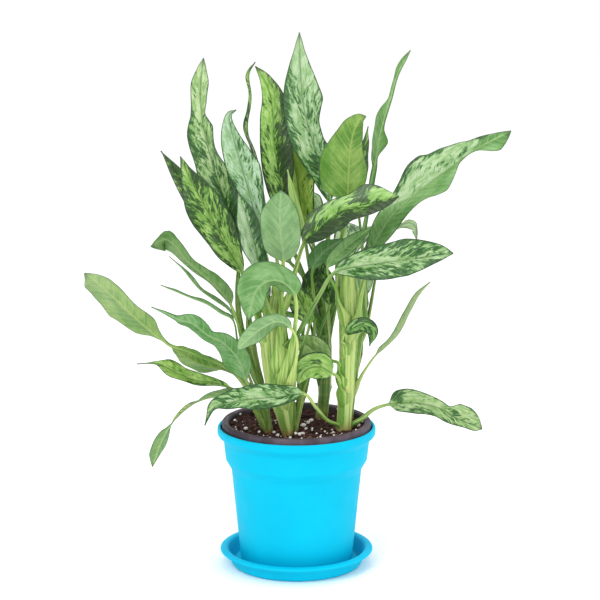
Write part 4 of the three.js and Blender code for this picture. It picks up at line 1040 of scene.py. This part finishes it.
def drained(piece, holes, radius, reach):
    """Drills a ring of holes through a pot's floor, reach from its middle."""
    for hole in range(holes):
        angle = 2 * math.pi * (hole + 0.5) / holes
        bpy.ops.object.select_all(action="DESELECT")
        bpy.ops.mesh.primitive_cylinder_add(
            vertices=32, radius=radius * MM, depth=20 * MM,
            location=(reach * math.cos(angle) * MM, reach * math.sin(angle) * MM, 0.006))
        drill = bpy.context.active_object
        cut = piece.modifiers.new("hole", "BOOLEAN")
        cut.operation = "DIFFERENCE"
        cut.object = drill
        only(piece)
        bpy.ops.object.modifier_apply(modifier=cut.name)
        bpy.data.objects.remove(drill)


def make_pots(finishes):
    saucer = turned("saucer_dressed", [
        (0, 0), (64.5, 0), (66, 0.3), (67.5, 2), (69.5, 9), (72, 12.5), (77, 13.8), (78.7, 14.6),
        (78.7, 15.8), (77.3, 17), (72.4, 17.6), (70.2, 16), (67.5, 9), (65, 3.6), (64, 2.4), (0, 2.4)],
        0.7)
    dress_node(saucer, "saucer", "pot_plastic", finishes["pot"])
    outer = turned("outer_pot_dressed", [
        (0, 2.7), (55.5, 2.7), (57.3, 4.5), (66.8, 101), (68.2, 104), (72.6, 111.5), (74.7, 131),
        (76, 133), (79.6, 136.5), (81, 138.5), (81, 144), (79.8, 145.6), (78.2, 145.6), (77.2, 144),
        (77.2, 139.5), (74, 135), (72.6, 131), (70.6, 112.5), (66.2, 104.8), (64.8, 101.6), (55.4, 5.2),
        (0, 5.2)], 0.7)
    drained(outer, 5, 4.5, 35)
    dress_node(outer, "outer_pot", "pot_plastic", finishes["pot"])
    grow = turned("grow_pot_dressed", [
        (0, 5.5), (51.5, 5.5), (53.2, 7.5), (63.6, 101), (68.2, 110), (71.2, 134), (75.2, 139.5),
        (76.3, 142), (76.3, 149.5), (75.2, 151), (70.5, 150.6), (69.3, 149), (69.3, 134), (66.6, 110.6),
        (62.1, 102), (51.6, 7.5), (0, 7.5)], 0.6)
    drained(grow, 6, 5, 38)
    dress_node(grow, "grow_pot", "grow_pot_plastic", finishes["grow_pot"])


# Soil

SOIL_RADIUS = 69.0
SOIL_GRID = 150
SOIL_WALL = ((69, 134), (66.3, 110.6), (61.8, 102), (51.3, 7.8))  # radius and height, down the side
CRUMBS = ((3.4, 1.7, 420), (1.8, 0.9, 1400))  # how far across, how tall and how many
CRUMB_SINK = 1.0
SCATTER_RADIUS = 65  # of the ground that chips and perlite lie on


def soil_height(x, y):
    """The lie of the soil's top, a little higher by the wall."""
    reach = np.hypot(x, y)
    return (SOIL_LEVEL + 3 * (reach / SOIL_RADIUS)**4 + 1.3 * np.sin(x * 0.21 + 1) * np.cos(y * 0.17)
            + 0.8 * np.sin(x * 0.09 - y * 0.4))


def lumps(x, y, rng):
    """Crumbs of soil, as a sum of small rounded bumps."""
    height = np.zeros_like(x)
    for reach, tall, count in CRUMBS:
        for _ in range(count):
            cx, cy = rng.uniform(-SOIL_RADIUS, SOIL_RADIUS, 2)
            size = reach * rng.uniform(0.6, 1.3)
            far = ((x - cx)**2 + (y - cy)**2) / size**2
            bump = np.clip(1 - far, 0, None)**0.5 * tall * rng.uniform(0.3, 1)
            height = np.maximum(height, bump)
    return height - CRUMB_SINK


def make_soil(finishes):
    rng = np.random.default_rng(SEED)
    bpy.ops.object.select_all(action="DESELECT")
    bpy.ops.mesh.primitive_grid_add(x_subdivisions=SOIL_GRID, y_subdivisions=SOIL_GRID, size=2)
    soil = named("soil_dressed")
    mesh = soil.data
    u, v = points_of(mesh)[:, :2].T  # a square, which is drawn in to the soil's round
    x = SOIL_RADIUS * u * np.sqrt(1 - v * v / 2)
    y = SOIL_RADIUS * v * np.sqrt(1 - u * u / 2)
    z = soil_height(x, y) + lumps(x, y, rng)
    mesh.vertices.foreach_set("co", (np.stack([x, y, z], 1) * MM).ravel())
    bpy.ops.object.mode_set(mode="EDIT")
    bpy.ops.mesh.select_mode(type="EDGE")
    bpy.ops.mesh.select_all(action="DESELECT")
    bpy.ops.mesh.select_non_manifold(extend=False, use_wire=False, use_boundary=True,
                                     use_multi_face=False, use_non_contiguous=False, use_verts=False)
    radius = SOIL_RADIUS
    level = None
    for next_radius, next_height in SOIL_WALL:
        drop = 0 if level is None else next_height - level
        bpy.ops.mesh.extrude_edges_move(TRANSFORM_OT_translate={"value": (0, 0, drop * MM)})
        scale = next_radius / radius
        bpy.ops.transform.resize(value=(scale, scale, 0 if level is None else 1),
                                 center_override=(0, 0, next_height * MM))
        radius, level = next_radius, next_height
    close_mesh()
    bpy.ops.object.shade_smooth()
    dress_node(soil, "soil", "potting_mix", finishes["soil"])


def scattered(name, count, sizes, squash, finish, rng, places=()):
    """Small broken pieces lying on the soil: each its own shape, all in one mesh. squash flattens them, and
    places says where the first ones lie and how big they are."""
    canes = [(shoot["cane"][0], shoot["cane_radius"][0]) for shoot in SHOOTS]
    pieces = []
    spots = list(places)
    while len(spots) < count:
        x, y = rng.uniform(-SCATTER_RADIUS - 1, SCATTER_RADIUS + 1, 2)
        clear = all(math.hypot(x - centre[0], y - centre[1]) > radius + 2 for centre, radius in canes)
        if clear and math.hypot(x, y) < SCATTER_RADIUS:
            spots.append((x, y, rng.uniform(*sizes)))
    for x, y, size in spots:
        bpy.ops.object.select_all(action="DESELECT")
        bpy.ops.mesh.primitive_ico_sphere_add(subdivisions=1, radius=size * MM)
        chip = bpy.context.active_object
        for vertex in chip.data.vertices:
            vertex.co *= rng.uniform(0.72, 1.15)
            vertex.co.y *= squash[0]
            vertex.co.z *= squash[1]
        level = float(soil_height(np.array([x]), np.array([y]))[0]) + 0.6
        chip.rotation_euler = (rng.uniform(-0.5, 0.5), rng.uniform(-0.5, 0.5), rng.uniform(0, 6.3))
        chip.location = (x * MM, y * MM, (level + size * squash[1] * 0.4) * MM)
        pieces.append(chip)
    bpy.ops.object.select_all(action="DESELECT")
    for chip in pieces:
        chip.select_set(True)
    bpy.context.view_layer.objects.active = pieces[0]
    bpy.ops.object.transform_apply(location=True, rotation=True, scale=True)
    bpy.ops.object.join()
    heap = named(name)
    bevel = heap.modifiers.new("broken_edges", "BEVEL")
    bevel.width = 0.25 * MM
    bevel.segments = 1
    only(heap)
    bpy.ops.object.modifier_apply(modifier=bevel.name)
    bpy.ops.object.transform_apply(location=True, rotation=True, scale=True)
    dress_node(heap, None, "potting_mix", finish)


# Stage


def make_stage():
    finish = Finish("studio_white", 0.9, 0.1)
    place = finish.place()
    finish.colour(finish.mix(finish.noise(place, 3.0, 2.0), linear(254, 254, 254), linear(255, 255, 255)))
    bpy.ops.object.select_all(action="DESELECT")
    bpy.ops.mesh.primitive_plane_add(size=24, location=(0, 0, -0.0002))
    floor = bpy.context.active_object
    floor.name = "studio_floor"
    paint(floor, finish.material)

    world = bpy.data.worlds.new("studio_air")
    world.use_nodes = True
    world.node_tree.nodes["Background"].inputs["Color"].default_value = (1, 1, 1, 1)
    world.node_tree.nodes["Background"].inputs["Strength"].default_value = 1.0
    bpy.context.scene.world = world

    for name, place_at, size, power, aim in (
            ("key_light", (-1.4, -2.2, 2.4), 1.6, 42, (0, 0, 0.25)),
            ("fill_light", (2.2, -1.8, 1.2), 2.0, 16, (0, 0, 0.25)),
            ("top_light", (0.2, 0.6, 2.8), 1.6, 18, (0, 0, 0.2))):
        lamp = bpy.data.lights.new(name, "AREA")
        lamp.size = size
        lamp.energy = power
        holder = bpy.data.objects.new(name, lamp)
        bpy.context.scene.collection.objects.link(holder)
        holder.location = place_at
        way = np.array(aim) - np.array(place_at)
        yaw = math.atan2(way[1], way[0]) - math.pi / 2
        pitch = math.atan2(way[2], math.hypot(way[0], way[1])) + math.pi / 2
        holder.rotation_euler = (pitch, 0, yaw)

    eye = bpy.data.cameras.new("photo_camera")
    eye.lens = 133.2
    eye.sensor_width = 36
    eye.clip_end = 60
    camera = bpy.data.objects.new("photo_camera", eye)
    bpy.context.scene.collection.objects.link(camera)
    camera.location = (0.0036, -2.2, 0.73)
    camera.rotation_euler = (math.radians(78.35), 0, 0)
    bpy.context.scene.camera = camera
    bpy.context.scene.view_settings.view_transform = "Standard"


# the second colour of each variegated finish is milky silver, partly painted sheen
finishes = {
    "silver": variegated("leaf_silver", green(152, 196, 124), green(208, 236, 186),
                         green(96, 156, 78), green(40, 102, 46), -0.03),
    "dark": variegated("leaf_dark", green(138, 188, 92), green(186, 226, 130),
                       green(88, 144, 60), green(34, 84, 32), 0.03),
    "lime": variegated("leaf_lime", green(146, 202, 92), green(194, 236, 142),
                       green(96, 150, 56), green(40, 84, 36), -0.02),
    "spear": spear_finish(),
    "underside": underside(),
    "cane": cane_finish(),
    "pot": pot_finish(),
    "grow_pot": grow_pot_finish(),
    "soil": earth_finish("soil_dark", linear(16, 8, 10), linear(78, 50, 46), 160.0),
    "bark": earth_finish("bark_brown", linear(44, 26, 24), linear(132, 96, 78), 240.0),
    "perlite": earth_finish("perlite_white", linear(240, 232, 226), linear(254, 252, 248), 300.0),
}

# Where the perlite that shows most lies on the soil, and how big each grain is, in millimetres.
PERLITE_IN_SIGHT = [
    (7.4, 4.7, 2.9), (11.8, 12.7, 2.7), (15.4, 16.5, 2.9), (-0.4, -30.7, 2.6), (6.1, -24.9, 2.9),
    (3.1, -37.5, 2.5), (-22.8, -22.9, 2.2), (-19.1, -34.5, 2.5), (-63.4, 14.7, 2.1), (-51.4, -13.1, 2.5),
    (63.6, -7.2, 2.1), (20.4, 61.9, 1.8), (9.7, -7.2, 2), (-3.5, -7.2, 1.7), (-58.8, 37.1, 1.7),
    (37.1, -19, 1.9), (67.3, 8.7, 2.2), (60.8, -17.2, 1.8), (-13.7, -11.2, 1.8), (15.8, -15.1, 1.8),
    (43.4, 53.6, 1.7), (-6.5, -42.2, 1.9), (29, -17.1, 1.6), (-38, -23, 1.8), (24, -47, 1.5),
]

make_stage()
make_pots(finishes)
make_soil(finishes)
chips = np.random.default_rng(SEED + 1)
scattered("bark_chips", 150, (1.2, 3.2), (0.55, 0.35), finishes["bark"], chips)
scattered("perlite_grains", 78, (0.6, 1.4), (0.9, 0.8), finishes["perlite"], chips, PERLITE_IN_SIGHT)
for shoot in SHOOTS:
    make_shoot(shoot, finishes)
